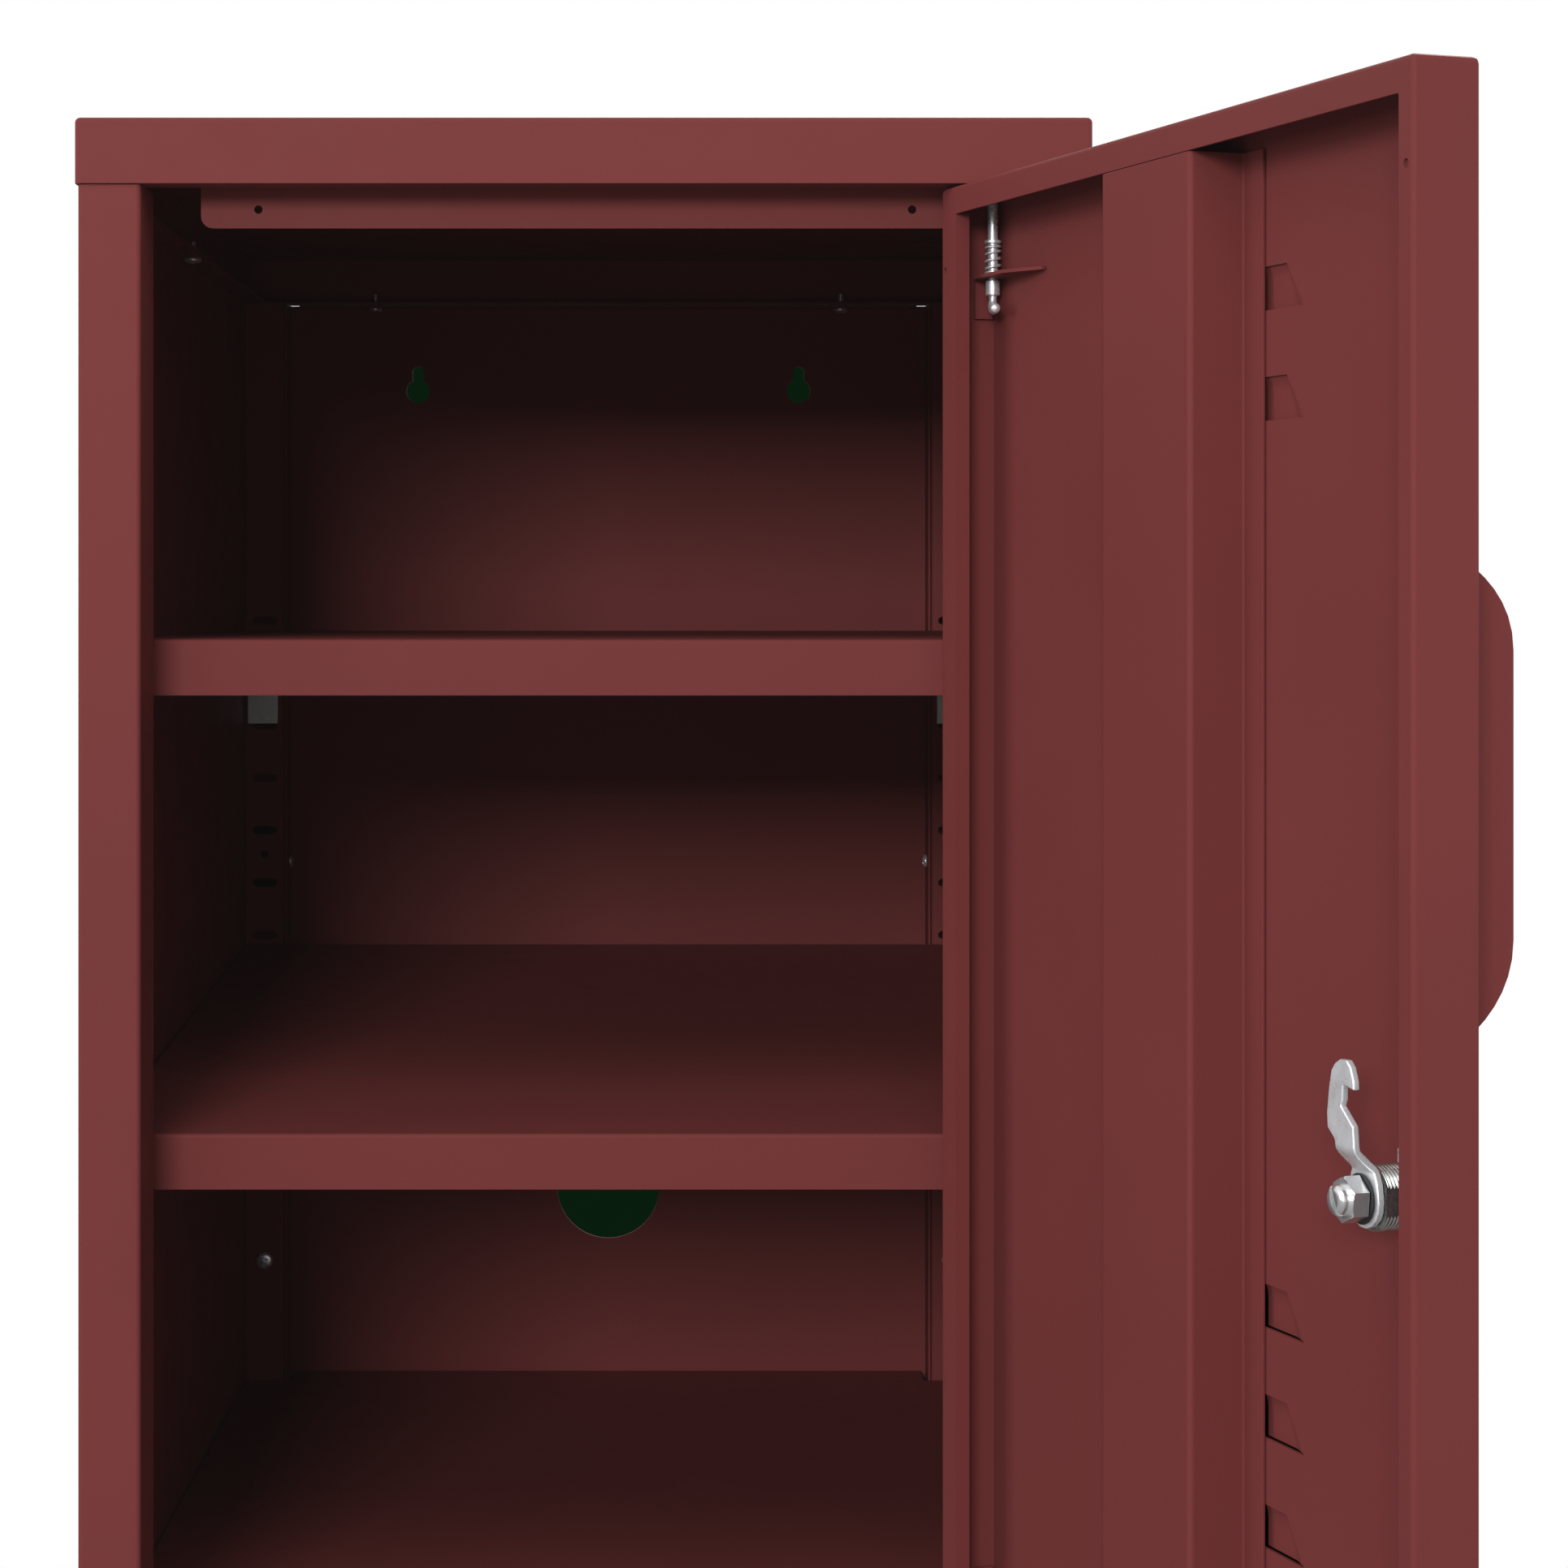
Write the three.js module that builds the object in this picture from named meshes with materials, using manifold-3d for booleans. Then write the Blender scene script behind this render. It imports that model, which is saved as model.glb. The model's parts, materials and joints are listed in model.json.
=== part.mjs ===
// A single-door sheet-steel school locker on four legs, modelled with its door open.
// Units are millimetres. +Z is up, +X is to the right of a person who faces the door and
// +Y goes into the locker. The origin is on the floor, at the middle of the footprint of the
// locker with its door open.
// Dimensions are measured from the floor, from the middle of the body's width and from the
// front faces of the door posts; the finished group is moved to the origin at the end.
import * as THREE from "three";
import { mergeVertices } from "three/addons/utils/BufferGeometryUtils.js";
import { ConvexGeometry } from "three/addons/geometries/ConvexGeometry.js";
import Module from "manifold-3d";

const wasm = await Module();
wasm.setup();

// ---- driving dimensions ----
const SHEET = 1.0; // thickness of the folded sheets
const HALF_SHEET = SHEET / 2;
const BEND = 1.2; // bend radius on the middle of the sheet
const HEIGHT = 725; // floor to the top of the cover
const COVER_HALF_W = 175; // half width of the cover and of the base pan
const BODY_HALF_W = 174; // half width over the side panels
const DEPTH = 460; // outer depth of the side panels
const APRON = 22.8; // height of the cover's and the base pan's apron
const OVERHANG = 1.0; // the cover and the base pan stand out this far, front and back
const LEG_H = 155; // floor to the underside of the base pan
const JAMB_W = 21.7; // width of a door post's front face
const POST_DEPTH = 30; // depth of a front post
const REAR_POST_Y = 439; // slotted face of a rear post
const REAR_POST_X = 154.5; // inner face of a rear post
const SLOT_PITCH = 25; // shelf slots
const SLOT_COUNT = 11;
const SLOT_TOP_Z = 550.1; // centre of the highest slot
const SLOT_X = 163.6; // centre of the slots
const DOOR_HALF_W = 150.3;
const DOOR_T = 20.5; // door thickness
const DOOR_GAP = 1.0; // gap above and below the door
const HINGE_X = 141.2;
const HINGE_Y = 5.1;
const DOOR_OPEN = 109.3; // degrees that the door stands open
const LOCK_X = -125; // lock axis on the door
const LOCK_Z = 398.5;
const SHELF_HALF_W = 172.2; // half width of the shelves and of the floor panel
const UPPER_SLOT = 1; // slot of the upper shelf's clips, counted down from the highest
const LOWER_SLOT_REAR = 7; // the lower shelf's rear clips
const LOWER_SLOT_FRONT = 8; // one slot lower, so that the shelf slopes down to the door

// ---- derived levels and places ----
const COVER_BOTTOM = HEIGHT - APRON;
const BASE_TOP = LEG_H + APRON;
const DOOR_TOP = COVER_BOTTOM - DOOR_GAP;
const DOOR_BOTTOM = BASE_TOP + DOOR_GAP;
const PANEL_BOTTOM = BASE_TOP + 0.25; // side panels
const PANEL_TOP = COVER_BOTTOM - 0.25;
const JAMB_X = BODY_HALF_W - JAMB_W; // inner face of a door post
const FLANGE_X = BODY_HALF_W - 10.5; // inner edge of the pans' side flanges
const HINGE_AXIS = [HINGE_X, HINGE_Y, 0];
const slotZ = (slot) => SLOT_TOP_Z - slot * SLOT_PITCH;

// ---- screws and bolts that join several pieces ----
const SIDE_SCREW = [167.6, 229.6]; // x, y
const BACK_SCREW = [112, 453.4]; // x, y
const BACK_SIDE_Y = 450; // screw through the back panel's folded side into the rear post
const BACK_SIDE_Z = HEIGHT - 290.4;
const POST_SCREW_Z = HEIGHT - 480;
const LEG_BOLT_X = 152;
const LEG_BOLT_FRONT_Y = 22;
const LEG_BOLT_REAR_Y = DEPTH - 22;

const SIDES = [
  [-1, "left"],
  [1, "right"],
];
const mirrored = (make) => [-1, 1].map(make);

// ---- solids ----
function solid(geometry) {
  let welded = geometry.index ? geometry.toNonIndexed() : geometry.clone();
  welded.deleteAttribute("normal");
  if (welded.getAttribute("uv")) welded.deleteAttribute("uv");
  welded = mergeVertices(welded, 1e-4);
  const vertProperties = new Float32Array(welded.attributes.position.array);
  const make = (triVerts) =>
    new wasm.Manifold(new wasm.Mesh({ numProp: 3, vertProperties, triVerts }));
  const triangles = new Uint32Array(welded.index.array);
  const made = make(triangles);
  if (made.volume() >= 0) return made;
  // the faces point inwards, so turn every triangle over
  for (let i = 0; i < triangles.length; i += 3) {
    [triangles[i + 1], triangles[i + 2]] = [triangles[i + 2], triangles[i + 1]];
  }
  return make(triangles);
}
const join = (...parts) => parts.flat().reduce((sum, part) => sum.add(part));
const cut = (body, ...tools) => tools.flat().reduce((rest, tool) => rest.subtract(tool), body);

// The two ends of each range may come in either order, here and in the sweeps.
function box(x0, x1, y0, y1, z0, z1) {
  return solid(
    new THREE.BoxGeometry(Math.abs(x1 - x0), Math.abs(y1 - y0), Math.abs(z1 - z0)).translate(
      (x0 + x1) / 2,
      (y0 + y1) / 2,
      (z0 + z1) / 2,
    ),
  );
}
// a cutting slab that is wider and deeper than the locker
const slab = (z0, z1) => box(-200, 200, -40, 500, z0, z1);

function extrude(points, options) {
  const shape = new THREE.Shape(points.map(([x, y]) => new THREE.Vector2(x, y)));
  return new THREE.ExtrudeGeometry(shape, { bevelEnabled: false, ...options });
}
// points (x, y), swept along Z
function sweepZ(points, z0, z1) {
  return solid(extrude(points, { depth: Math.abs(z1 - z0) }).translate(0, 0, Math.min(z0, z1)));
}
// points (x, z), swept along Y
function sweepY(points, y0, y1) {
  const swept = extrude(points, { depth: Math.abs(y1 - y0) }).rotateX(Math.PI / 2);
  return solid(swept.translate(0, Math.max(y0, y1), 0));
}
// points (y, z), swept along X
const YZX = new THREE.Matrix4().makeBasis(
  new THREE.Vector3(0, 1, 0),
  new THREE.Vector3(0, 0, 1),
  new THREE.Vector3(1, 0, 0),
);
function sweepX(points, x0, x1) {
  const swept = extrude(points, { depth: Math.abs(x1 - x0) }).applyMatrix4(YZX);
  return solid(swept.translate(Math.min(x0, x1), 0, 0));
}

// turns a geometry's own Y axis to a direction and moves it to a place
function aim(geometry, direction, place) {
  const turn = new THREE.Quaternion().setFromUnitVectors(
    new THREE.Vector3(0, 1, 0),
    new THREE.Vector3(...direction).normalize(),
  );
  return solid(geometry.applyQuaternion(turn).translate(...place));
}
// a cylinder along one axis, centred on the other two coordinates
function rod(radius, axis, centre, from, to, segments = 16) {
  const index = "xyz".indexOf(axis);
  const direction = [0, 0, 0];
  direction[index] = 1;
  const place = [...centre];
  place[index] = (from + to) / 2;
  const cylinder = new THREE.CylinderGeometry(radius, radius, Math.abs(to - from), segments);
  return aim(cylinder, direction, place);
}
const pinHole = (z) => rod(2.2, "z", HINGE_AXIS, z - 3, z + 3);
const boltHole = (x, y, z0, z1) => rod(3.3, "z", [x, y, 0], z0, z1, 14);
const screwHole = (axis, centre, from, to) => rod(2.1, axis, centre, from, to, 12);
const uprightScrewHole = (x, y, z) => screwHole("z", [x, y, 0], z - 3, z + 3);

// a pan-head screw whose head sits on the seat and points along the direction
function screw(
  direction,
  seat,
  { headR = 3.6, headH = 2.1, shankR = 1.7, length = 7 } = {},
) {
  // radius, distance from the seat
  const profile = [
    [0, -length],
    [shankR * 0.6, -length],
    [shankR, -length + 0.9],
    [shankR, 0],
    [headR, 0],
    [headR, headH * 0.45],
    [headR * 0.8, headH * 0.85],
    [headR * 0.4, headH],
    [0, headH],
  ].map(([radius, distance]) => new THREE.Vector2(radius, distance));
  return aim(new THREE.LatheGeometry(profile, 14), direction, seat);
}

// the outline of a folded sheet, from a path along the middle of the sheet
function folded(path, { thickness = SHEET, radius = BEND, steps = 3 } = {}) {
  const left = [];
  const right = [];
  const points = path.map(([x, y]) => new THREE.Vector2(x, y));
  const origin = new THREE.Vector2(0, 0);
  const heading = (i) => points[i + 1].clone().sub(points[i]).normalize();
  const normalTo = (direction) => new THREE.Vector2(-direction.y, direction.x);
  const put = (point, normal) => {
    left.push([point.x + (normal.x * thickness) / 2, point.y + (normal.y * thickness) / 2]);
    right.push([point.x - (normal.x * thickness) / 2, point.y - (normal.y * thickness) / 2]);
  };
  const last = points.length - 1;
  put(points[0], normalTo(heading(0)));
  for (let i = 1; i < last; i++) {
    const before = heading(i - 1);
    const after = heading(i);
    const turn = Math.atan2(before.x * after.y - before.y * after.x, before.dot(after));
    const side = Math.sign(turn);
    const setback = radius * Math.tan(Math.abs(turn) / 2);
    const centre = points[i]
      .clone()
      .addScaledVector(before, -setback)
      .addScaledVector(normalTo(before), side * radius);
    for (let k = 0; k <= steps; k++) {
      const normal = normalTo(before.clone().rotateAround(origin, (turn * k) / steps));
      put(centre.clone().addScaledVector(normal, -side * radius), normal);
    }
  }
  put(points[last], normalTo(heading(last - 1)));
  return left.concat(right.reverse());
}

function arc(centreX, centreY, radius, start, sweep, steps) {
  return Array.from({ length: steps + 1 }, (_, k) => {
    const angle = start + (k / steps) * sweep;
    return [centreX + radius * Math.cos(angle), centreY + radius * Math.sin(angle)];
  });
}
// a rectangle with round corners
function roundRect(x0, x1, y0, y1, radius, steps) {
  const corner = (x, y, quarter) =>
    arc(x, y, radius, (quarter * Math.PI) / 2, Math.PI / 2, steps);
  return [
    ...corner(x1 - radius, y1 - radius, 0),
    ...corner(x0 + radius, y1 - radius, 1),
    ...corner(x0 + radius, y0 + radius, 2),
    ...corner(x1 - radius, y0 + radius, 3),
  ];
}
// a block with round corners and rounded end edges, standing on its first end at z = 0
function softPrism(x0, x1, y0, y1, height, edge) {
  return extrude(roundRect(x0 + edge, x1 - edge, y0 + edge, y1 - edge, 0.6, 2), {
    depth: height - 2 * edge,
    bevelEnabled: true,
    bevelThickness: edge,
    bevelSize: edge,
    bevelSegments: 3,
  }).translate(0, 0, edge);
}
// the prism's ends face up and down
function softBlockZ(x0, x1, y0, y1, z0, z1, edge) {
  const prism = softPrism(x0, x1, y0, y1, Math.abs(z1 - z0), edge);
  return solid(prism.translate(0, 0, Math.min(z0, z1)));
}
// the prism's ends face front and back
function softBlockY(x0, x1, y0, y1, z0, z1, edge) {
  const prism = softPrism(x0, x1, z0, z1, y1 - y0, edge);
  return solid(prism.rotateX(Math.PI / 2).translate(0, y1, 0));
}

// ---- finishes and meshes ----
const PAINT = { color: 0x6b2f31, roughness: 0.52, metalness: 0.0 }; // dark red
const ZINC = { color: 0xb9bcbd, roughness: 0.32, metalness: 1.0 };
const CHROME = { color: 0xd2d4d6, roughness: 0.16, metalness: 1.0 };
const BLACK = { color: 0x17181a, roughness: 0.5, metalness: 0.0 };
const CLIP = { color: 0xa9aaa6, roughness: 0.45, metalness: 0.6 }; // dull metal

const group = new THREE.Group();

function add(name, shape, finish, parent = group) {
  const { vertProperties, triVerts } = shape.getMesh();
  const geometry = new THREE.BufferGeometry()
    .setAttribute("position", new THREE.Float32BufferAttribute(vertProperties, 3))
    .setIndex(new THREE.Uint32BufferAttribute(triVerts, 1));
  geometry.computeVertexNormals();
  const mesh = new THREE.Mesh(geometry, new THREE.MeshStandardMaterial(finish));
  mesh.name = name;
  parent.add(mesh);
  return mesh;
}

// ---- cover and base pan: shallow folded pans with an inward flange round the open edge ----
function pan(closedZ, openZ) {
  const front = -OVERHANG;
  const back = DEPTH + OVERHANG;
  const width = COVER_HALF_W;
  const flange = 11; // inner edge of the front flange, and the same distance from the back
  const out = Math.sign(openZ - closedZ);
  // the block is made too long and trimmed, so that its open edge is square
  const block = softBlockZ(-width, width, front, back, closedZ, openZ + out * 6, 1.6);
  return cut(
    block,
    slab(openZ, openZ + out * 20),
    box(
      -width + SHEET,
      width - SHEET,
      front + SHEET,
      back - SHEET,
      closedZ + out * SHEET,
      openZ - out * SHEET,
    ),
    box(-FLANGE_X, FLANGE_X, flange, DEPTH - flange, openZ - 5, openZ + 5),
  );
}
const panHoles = (z) => [
  pinHole(z),
  ...mirrored((side) => uprightScrewHole(side * SIDE_SCREW[0], SIDE_SCREW[1], z)),
  ...mirrored((side) => uprightScrewHole(side * BACK_SCREW[0], BACK_SCREW[1], z)),
];
const legBoltHoles = mirrored((side) =>
  [LEG_BOLT_FRONT_Y, LEG_BOLT_REAR_Y].map((y) =>
    boltHole(side * LEG_BOLT_X, y, LEG_H - 3, LEG_H + 3),
  ),
).flat();
add("top_cover", cut(pan(HEIGHT, COVER_BOTTOM), panHoles(COVER_BOTTOM + HALF_SHEET)), PAINT);
add("base_pan", cut(pan(LEG_H, BASE_TOP), panHoles(BASE_TOP - HALF_SHEET), legBoltHoles), PAINT);

// ---- door stop rail behind the cover's front apron ----
function doorStopRail() {
  const y = 22.4; // front face
  const bottom = HEIGHT - 35.6;
  const top = HEIGHT - SHEET - 0.4;
  const halfW = 134.7;
  const corner = 4.2;
  const outline = [
    ...arc(-halfW + corner, bottom + corner, corner, Math.PI, Math.PI / 2, 5),
    ...arc(halfW - corner, bottom + corner, corner, 1.5 * Math.PI, Math.PI / 2, 5),
    [halfW, top],
    [-halfW, top],
  ];
  const flange = box(-halfW + 0.4, halfW - 0.4, y + 0.2, y + 12, top - SHEET - 0.2, top - 0.2);
  const holes = mirrored((side) => rod(1.5, "y", [side * 114.6, 0, HEIGHT - 29], y - 2, y + 3, 14));
  return cut(join(sweepY(outline, y, y + SHEET), flange), holes);
}
add("door_stop_rail", doorStopRail(), PAINT);

// ---- side panels: folded sheets with a box post rolled along the front and the back edge ----
function slotOutline(centreX, centreZ) {
  const radius = 2;
  const reach = 12 / 2 - radius; // slot centre to the centre of a round end
  return [
    ...arc(centreX + reach, centreZ, radius, -Math.PI / 2, Math.PI, 3),
    ...arc(centreX - reach, centreZ, radius, Math.PI / 2, Math.PI, 3),
  ];
}
function sidePanel(side) {
  const returnEnd = side * (BODY_HALF_W - SHEET - 0.5);
  const outer = side * (BODY_HALF_W - HALF_SHEET);
  const frontInner = side * (JAMB_X + HALF_SHEET);
  const rearInner = side * (REAR_POST_X + HALF_SHEET);
  const path = [
    [returnEnd, POST_DEPTH - HALF_SHEET],
    [frontInner, POST_DEPTH - HALF_SHEET],
    [frontInner, HALF_SHEET],
    [outer, HALF_SHEET],
    [outer, DEPTH - HALF_SHEET],
    [rearInner, DEPTH - HALF_SHEET],
    [rearInner, REAR_POST_Y + HALF_SHEET],
    [returnEnd, REAR_POST_Y + HALF_SHEET],
  ];
  const flange = (z) =>
    box(side * (FLANGE_X + 0.5), outer, POST_DEPTH + 3, REAR_POST_Y - 3, z, z + SHEET);
  const panel = join(
    sweepZ(folded(path), PANEL_BOTTOM, PANEL_TOP),
    flange(PANEL_BOTTOM),
    flange(PANEL_TOP - SHEET),
  );

  const cuts = [];
  for (let slot = 0; slot < SLOT_COUNT; slot++) {
    const outline = slotOutline(side * SLOT_X, slotZ(slot));
    cuts.push(sweepY(outline, POST_DEPTH - 3, POST_DEPTH + 2));
    cuts.push(sweepY(outline, REAR_POST_Y - 2, REAR_POST_Y + 3));
  }
  for (const z of [PANEL_BOTTOM + HALF_SHEET, PANEL_TOP - HALF_SHEET]) {
    cuts.push(uprightScrewHole(side * SIDE_SCREW[0], SIDE_SCREW[1], z));
  }
  const postHole = [side * SLOT_X, 0, HEIGHT - 286.5];
  const postScrew = [side * SLOT_X, 0, POST_SCREW_Z];
  const backScrew = [0, BACK_SIDE_Y, BACK_SIDE_Z];
  cuts.push(
    rod(2.0, "y", postHole, REAR_POST_Y - 2, REAR_POST_Y + 3, 14),
    screwHole("y", postScrew, REAR_POST_Y - 2, REAR_POST_Y + 3),
    screwHole("x", backScrew, side * (REAR_POST_X - 2), side * (REAR_POST_X + 3)),
  );
  // the slot in the left door post that the lock's cam swings into
  if (side < 0) {
    const camSlot = roundRect(22.7, 27.5, LOCK_Z + 0.7, LOCK_Z + 29, 1.0, 2);
    cuts.push(sweepX(camSlot, -JAMB_X - 2.5, -JAMB_X + 2.5));
  }
  return cut(panel, cuts);
}
for (const [side, sideName] of SIDES) add(`${sideName}_side_panel`, sidePanel(side), PAINT);

// ---- back panel: a folded tray between the rear posts ----
function keyhole(centreX) {
  const bigR = 5.7;
  const smallR = 2.6;
  const neck = Math.asin(smallR / bigR); // half angle of the opening in the big circle
  const bigArc = 2 * Math.PI - 2 * neck;
  return [
    ...arc(centreX, HEIGHT - 64.1, bigR, Math.PI / 2 + neck, bigArc, 16),
    ...arc(centreX, HEIGHT - 54.8, smallR, 0, Math.PI, 6),
  ];
}
function backPanel() {
  const halfW = 153.7; // to the middle of the folded sides
  const frontY = 441.5;
  const y = DEPTH - HALF_SHEET;
  const path = [
    [-halfW, frontY],
    [-halfW, y],
    [halfW, y],
    [halfW, frontY],
  ];
  const flange = (z) => box(-148, 148, 447.5, y - 0.1, z, z + SHEET);
  const tray = join(
    sweepZ(folded(path), PANEL_BOTTOM + 0.1, PANEL_TOP - 0.1),
    flange(PANEL_TOP - 0.4 - SHEET),
    flange(PANEL_BOTTOM + 0.4),
  );
  const screwHoles = mirrored((side) => [
    screwHole("x", [0, BACK_SIDE_Y, BACK_SIDE_Z], side * 151, side * 157),
    ...[PANEL_BOTTOM, PANEL_TOP - 0.5].map((z) =>
      uprightScrewHole(side * BACK_SCREW[0], BACK_SCREW[1], z),
    ),
  ]).flat();
  return cut(
    tray,
    mirrored((side) => sweepY(keyhole(side * 91.9), DEPTH - 4, DEPTH + 4)),
    rod(24.7, "y", [0, 0, HEIGHT - 448.6], DEPTH - 5, DEPTH + 5, 40),
    screwHoles,
  );
}
add("back_panel", backPanel(), PAINT);

// ---- floor panel: a shallow tray, notched round the posts ----
function floorPanel() {
  const top = 188;
  const bottom = PANEL_BOTTOM + SHEET + 0.65;
  const edge = 1.0; // rounding of the top edge
  const outline = (inset) => {
    const wide = SHELF_HALF_W - inset;
    const frontW = 151.6 - inset; // half width between the front posts
    const rearW = 151.2 - inset; // half width between the rear posts
    const front = 24 + inset;
    const frontNotch = 31 + inset;
    const rearNotch = 438 - inset;
    const rear = 458 - inset;
    return [
      [-frontW, front],
      [frontW, front],
      [frontW, frontNotch],
      [wide, frontNotch],
      [wide, rearNotch],
      [rearW, rearNotch],
      [rearW, rear],
      [-rearW, rear],
      [-rearW, rearNotch],
      [-wide, rearNotch],
      [-wide, frontNotch],
      [-frontW, frontNotch],
    ];
  };
  const block = extrude(outline(0), {
    depth: top - (bottom - 3) - edge,
    bevelEnabled: true,
    bevelThickness: edge,
    bevelSize: edge,
    bevelOffset: -edge,
    bevelSegments: 2,
  }).translate(0, 0, bottom - 3);
  return cut(
    solid(block),
    slab(bottom - 20, bottom),
    sweepZ(outline(SHEET), bottom - 4, top - SHEET),
  );
}
add("floor_panel", floorPanel(), PAINT);

// ---- shelves: shallow trays with a folded lip all round, drawn with the top at z = 0 ----
const SHELF_LIP = 20;
const SHELF_FRONT = 32; // front face of the upper shelf
const SHELF_LEN = 405.8;
function shelf() {
  const halfW = SHELF_HALF_W;
  const inner = halfW - SHEET;
  const bottom = -SHELF_LIP;
  return cut(
    softBlockZ(-halfW, halfW, 0, SHELF_LEN, bottom - 5, 0, 1.4),
    slab(bottom - 20, bottom),
    box(-inner, inner, SHEET, SHELF_LEN - SHEET, bottom + SHEET, -SHEET),
    box(-inner, inner, 11, SHELF_LEN - 11, bottom - 3, bottom + 3),
  );
}
const shelfTop = (slot) => slotZ(slot) + 0.2 + SHELF_LIP;
add("upper_shelf", shelf(), PAINT).position.set(0, SHELF_FRONT, shelfTop(UPPER_SLOT));
const lowerShelf = add("lower_shelf", shelf(), PAINT);
lowerShelf.position.set(0, SHELF_FRONT + 0.3, shelfTop(LOWER_SLOT_FRONT));
lowerShelf.rotation.x = Math.asin((SLOT_PITCH + 0.75) / SHELF_LEN);

// ---- shelf clips: a plate on the post, a ledge for the shelf and a tongue through a slot ----
function shelfClip(side, atFront, slot) {
  const thickness = 1.2;
  const top = slotZ(slot) - 0.1;
  const ledgeZ = top - thickness / 2;
  const plateX = side * (SLOT_X + 0.7);
  const plateHalfW = 7.15;
  const tongueHalfW = 4.8;
  // distance from the post's slotted face towards the shelf
  const y = (distance) => (atFront ? POST_DEPTH + distance : REAR_POST_Y - distance);
  const plate = [
    [y(13), ledgeZ],
    [y(0.3 + thickness / 2), ledgeZ],
    [y(0.3 + thickness / 2), top - 24],
  ];
  const tongue = [
    [y(2.2), ledgeZ],
    [y(-2.1), ledgeZ],
    [y(-2.1), top - 7.5],
  ];
  return join(
    sweepX(
      folded(plate, { thickness, radius: 1.0, steps: 2 }),
      plateX - plateHalfW,
      plateX + plateHalfW,
    ),
    sweepX(
      folded(tongue, { thickness, radius: 0.8, steps: 2 }),
      side * SLOT_X - tongueHalfW,
      side * SLOT_X + tongueHalfW,
    ),
  );
}
// shelf, slot of the front clips, slot of the rear clips
const CLIP_SLOTS = [
  ["upper", UPPER_SLOT, UPPER_SLOT],
  ["lower", LOWER_SLOT_FRONT, LOWER_SLOT_REAR],
];
for (const [side, sideName] of SIDES) {
  for (const [shelfName, frontSlot, rearSlot] of CLIP_SLOTS) {
    add(`${shelfName}_shelf_clip_front_${sideName}`, shelfClip(side, true, frontSlot), CLIP);
    add(`${shelfName}_shelf_clip_rear_${sideName}`, shelfClip(side, false, rearSlot), CLIP);
  }
}

// ---- screws of the cabinet ----
for (const [side, sideName] of SIDES) {
  const down = [0, 0, -1];
  const [sideX, sideY] = SIDE_SCREW;
  const [backX, backY] = BACK_SCREW;
  const coverSeat = PANEL_TOP - SHEET - 0.1;
  // name, head direction, seat, sizes
  const screws = [
    ["cover_screw", down, [side * sideX, sideY, coverSeat]],
    ["cover_screw_back", down, [side * backX, backY, coverSeat - 0.4]],
    [
      "back_screw",
      [-side, 0, 0],
      [side * 153.1, BACK_SIDE_Y, BACK_SIDE_Z],
      { headR: 3.0, headH: 1.8 },
    ],
    [
      "post_screw",
      [0, -1, 0],
      [side * SLOT_X, REAR_POST_Y - 0.1, POST_SCREW_Z],
      { headR: 4.2, headH: 2.6, length: 9 },
    ],
    ["base_screw", down, [side * sideX, sideY, BASE_TOP - SHEET - 0.1], { length: 6 }],
  ];
  for (const [name, direction, seat, sizes] of screws) {
    add(`${name}_${sideName}`, screw(direction, seat, sizes), ZINC);
  }
}

// ---- legs: tapered folded angles, bolted under the base pan ----
const LEG_T = 1.8; // sheet of the legs
const LEG_TOP = LEG_H - 0.25;
const LEG_FOOT = 3.2; // lower end, inside the glide
const LEG_W_TOP = 46;
const LEG_W_FOOT = 21;

// Drawing aids for one corner; all insets run inwards from the leg's outer faces.
function legCorner(side, atFront) {
  const x = (inset) => side * (COVER_HALF_W - 3 - inset);
  const y = (inset) => (atFront ? 2 + inset : DEPTH - 2 - inset);
  const mid = LEG_T / 2;
  return {
    boltX: side * LEG_BOLT_X,
    boltY: atFront ? LEG_BOLT_FRONT_Y : LEG_BOLT_REAR_Y,
    // plan outline given as (x inset, y inset)
    sweepPlan: (insets, z0, z1) => sweepZ(insets.map(([u, v]) => [x(u), y(v)]), z0, z1),
    angle: (width, thickness, z0, z1) => {
      const path = [
        [x(width), y(mid)],
        [x(mid), y(mid)],
        [x(mid), y(width)],
      ];
      return sweepZ(folded(path, { thickness, radius: 2.6, steps: 4 }), z0, z1);
    },
    // a profile of (inset, z) swept through each of the two walls of the angle
    throughWalls: (profile, from, to) => [
      sweepY(profile.map(([u, z]) => [x(u), z]), y(from), y(to)),
      sweepX(profile.map(([u, z]) => [y(u), z]), x(from), x(to)),
    ],
  };
}
function leg(corner) {
  const taper = [
    [LEG_W_FOOT, LEG_FOOT - 1],
    [LEG_W_FOOT, LEG_FOOT + 4],
    [LEG_W_TOP - 1, LEG_TOP - 14],
    [LEG_W_TOP + 8, LEG_TOP - 14],
    [LEG_W_TOP + 8, LEG_FOOT - 1],
  ];
  const plate = [
    [1, 3],
    [1, LEG_W_TOP],
    [14, LEG_W_TOP],
    [LEG_W_TOP, 14],
    [LEG_W_TOP, 1],
    [3, 1],
  ];
  const angle = corner.angle(LEG_W_TOP, LEG_T, LEG_FOOT, LEG_TOP);
  return cut(
    join(
      cut(angle, corner.throughWalls(taper, -5, LEG_T + 0.01)),
      corner.sweepPlan(plate, LEG_TOP - LEG_T, LEG_TOP),
    ),
    boltHole(corner.boltX, corner.boltY, LEG_TOP - 5, LEG_TOP + 3),
  );
}
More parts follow.
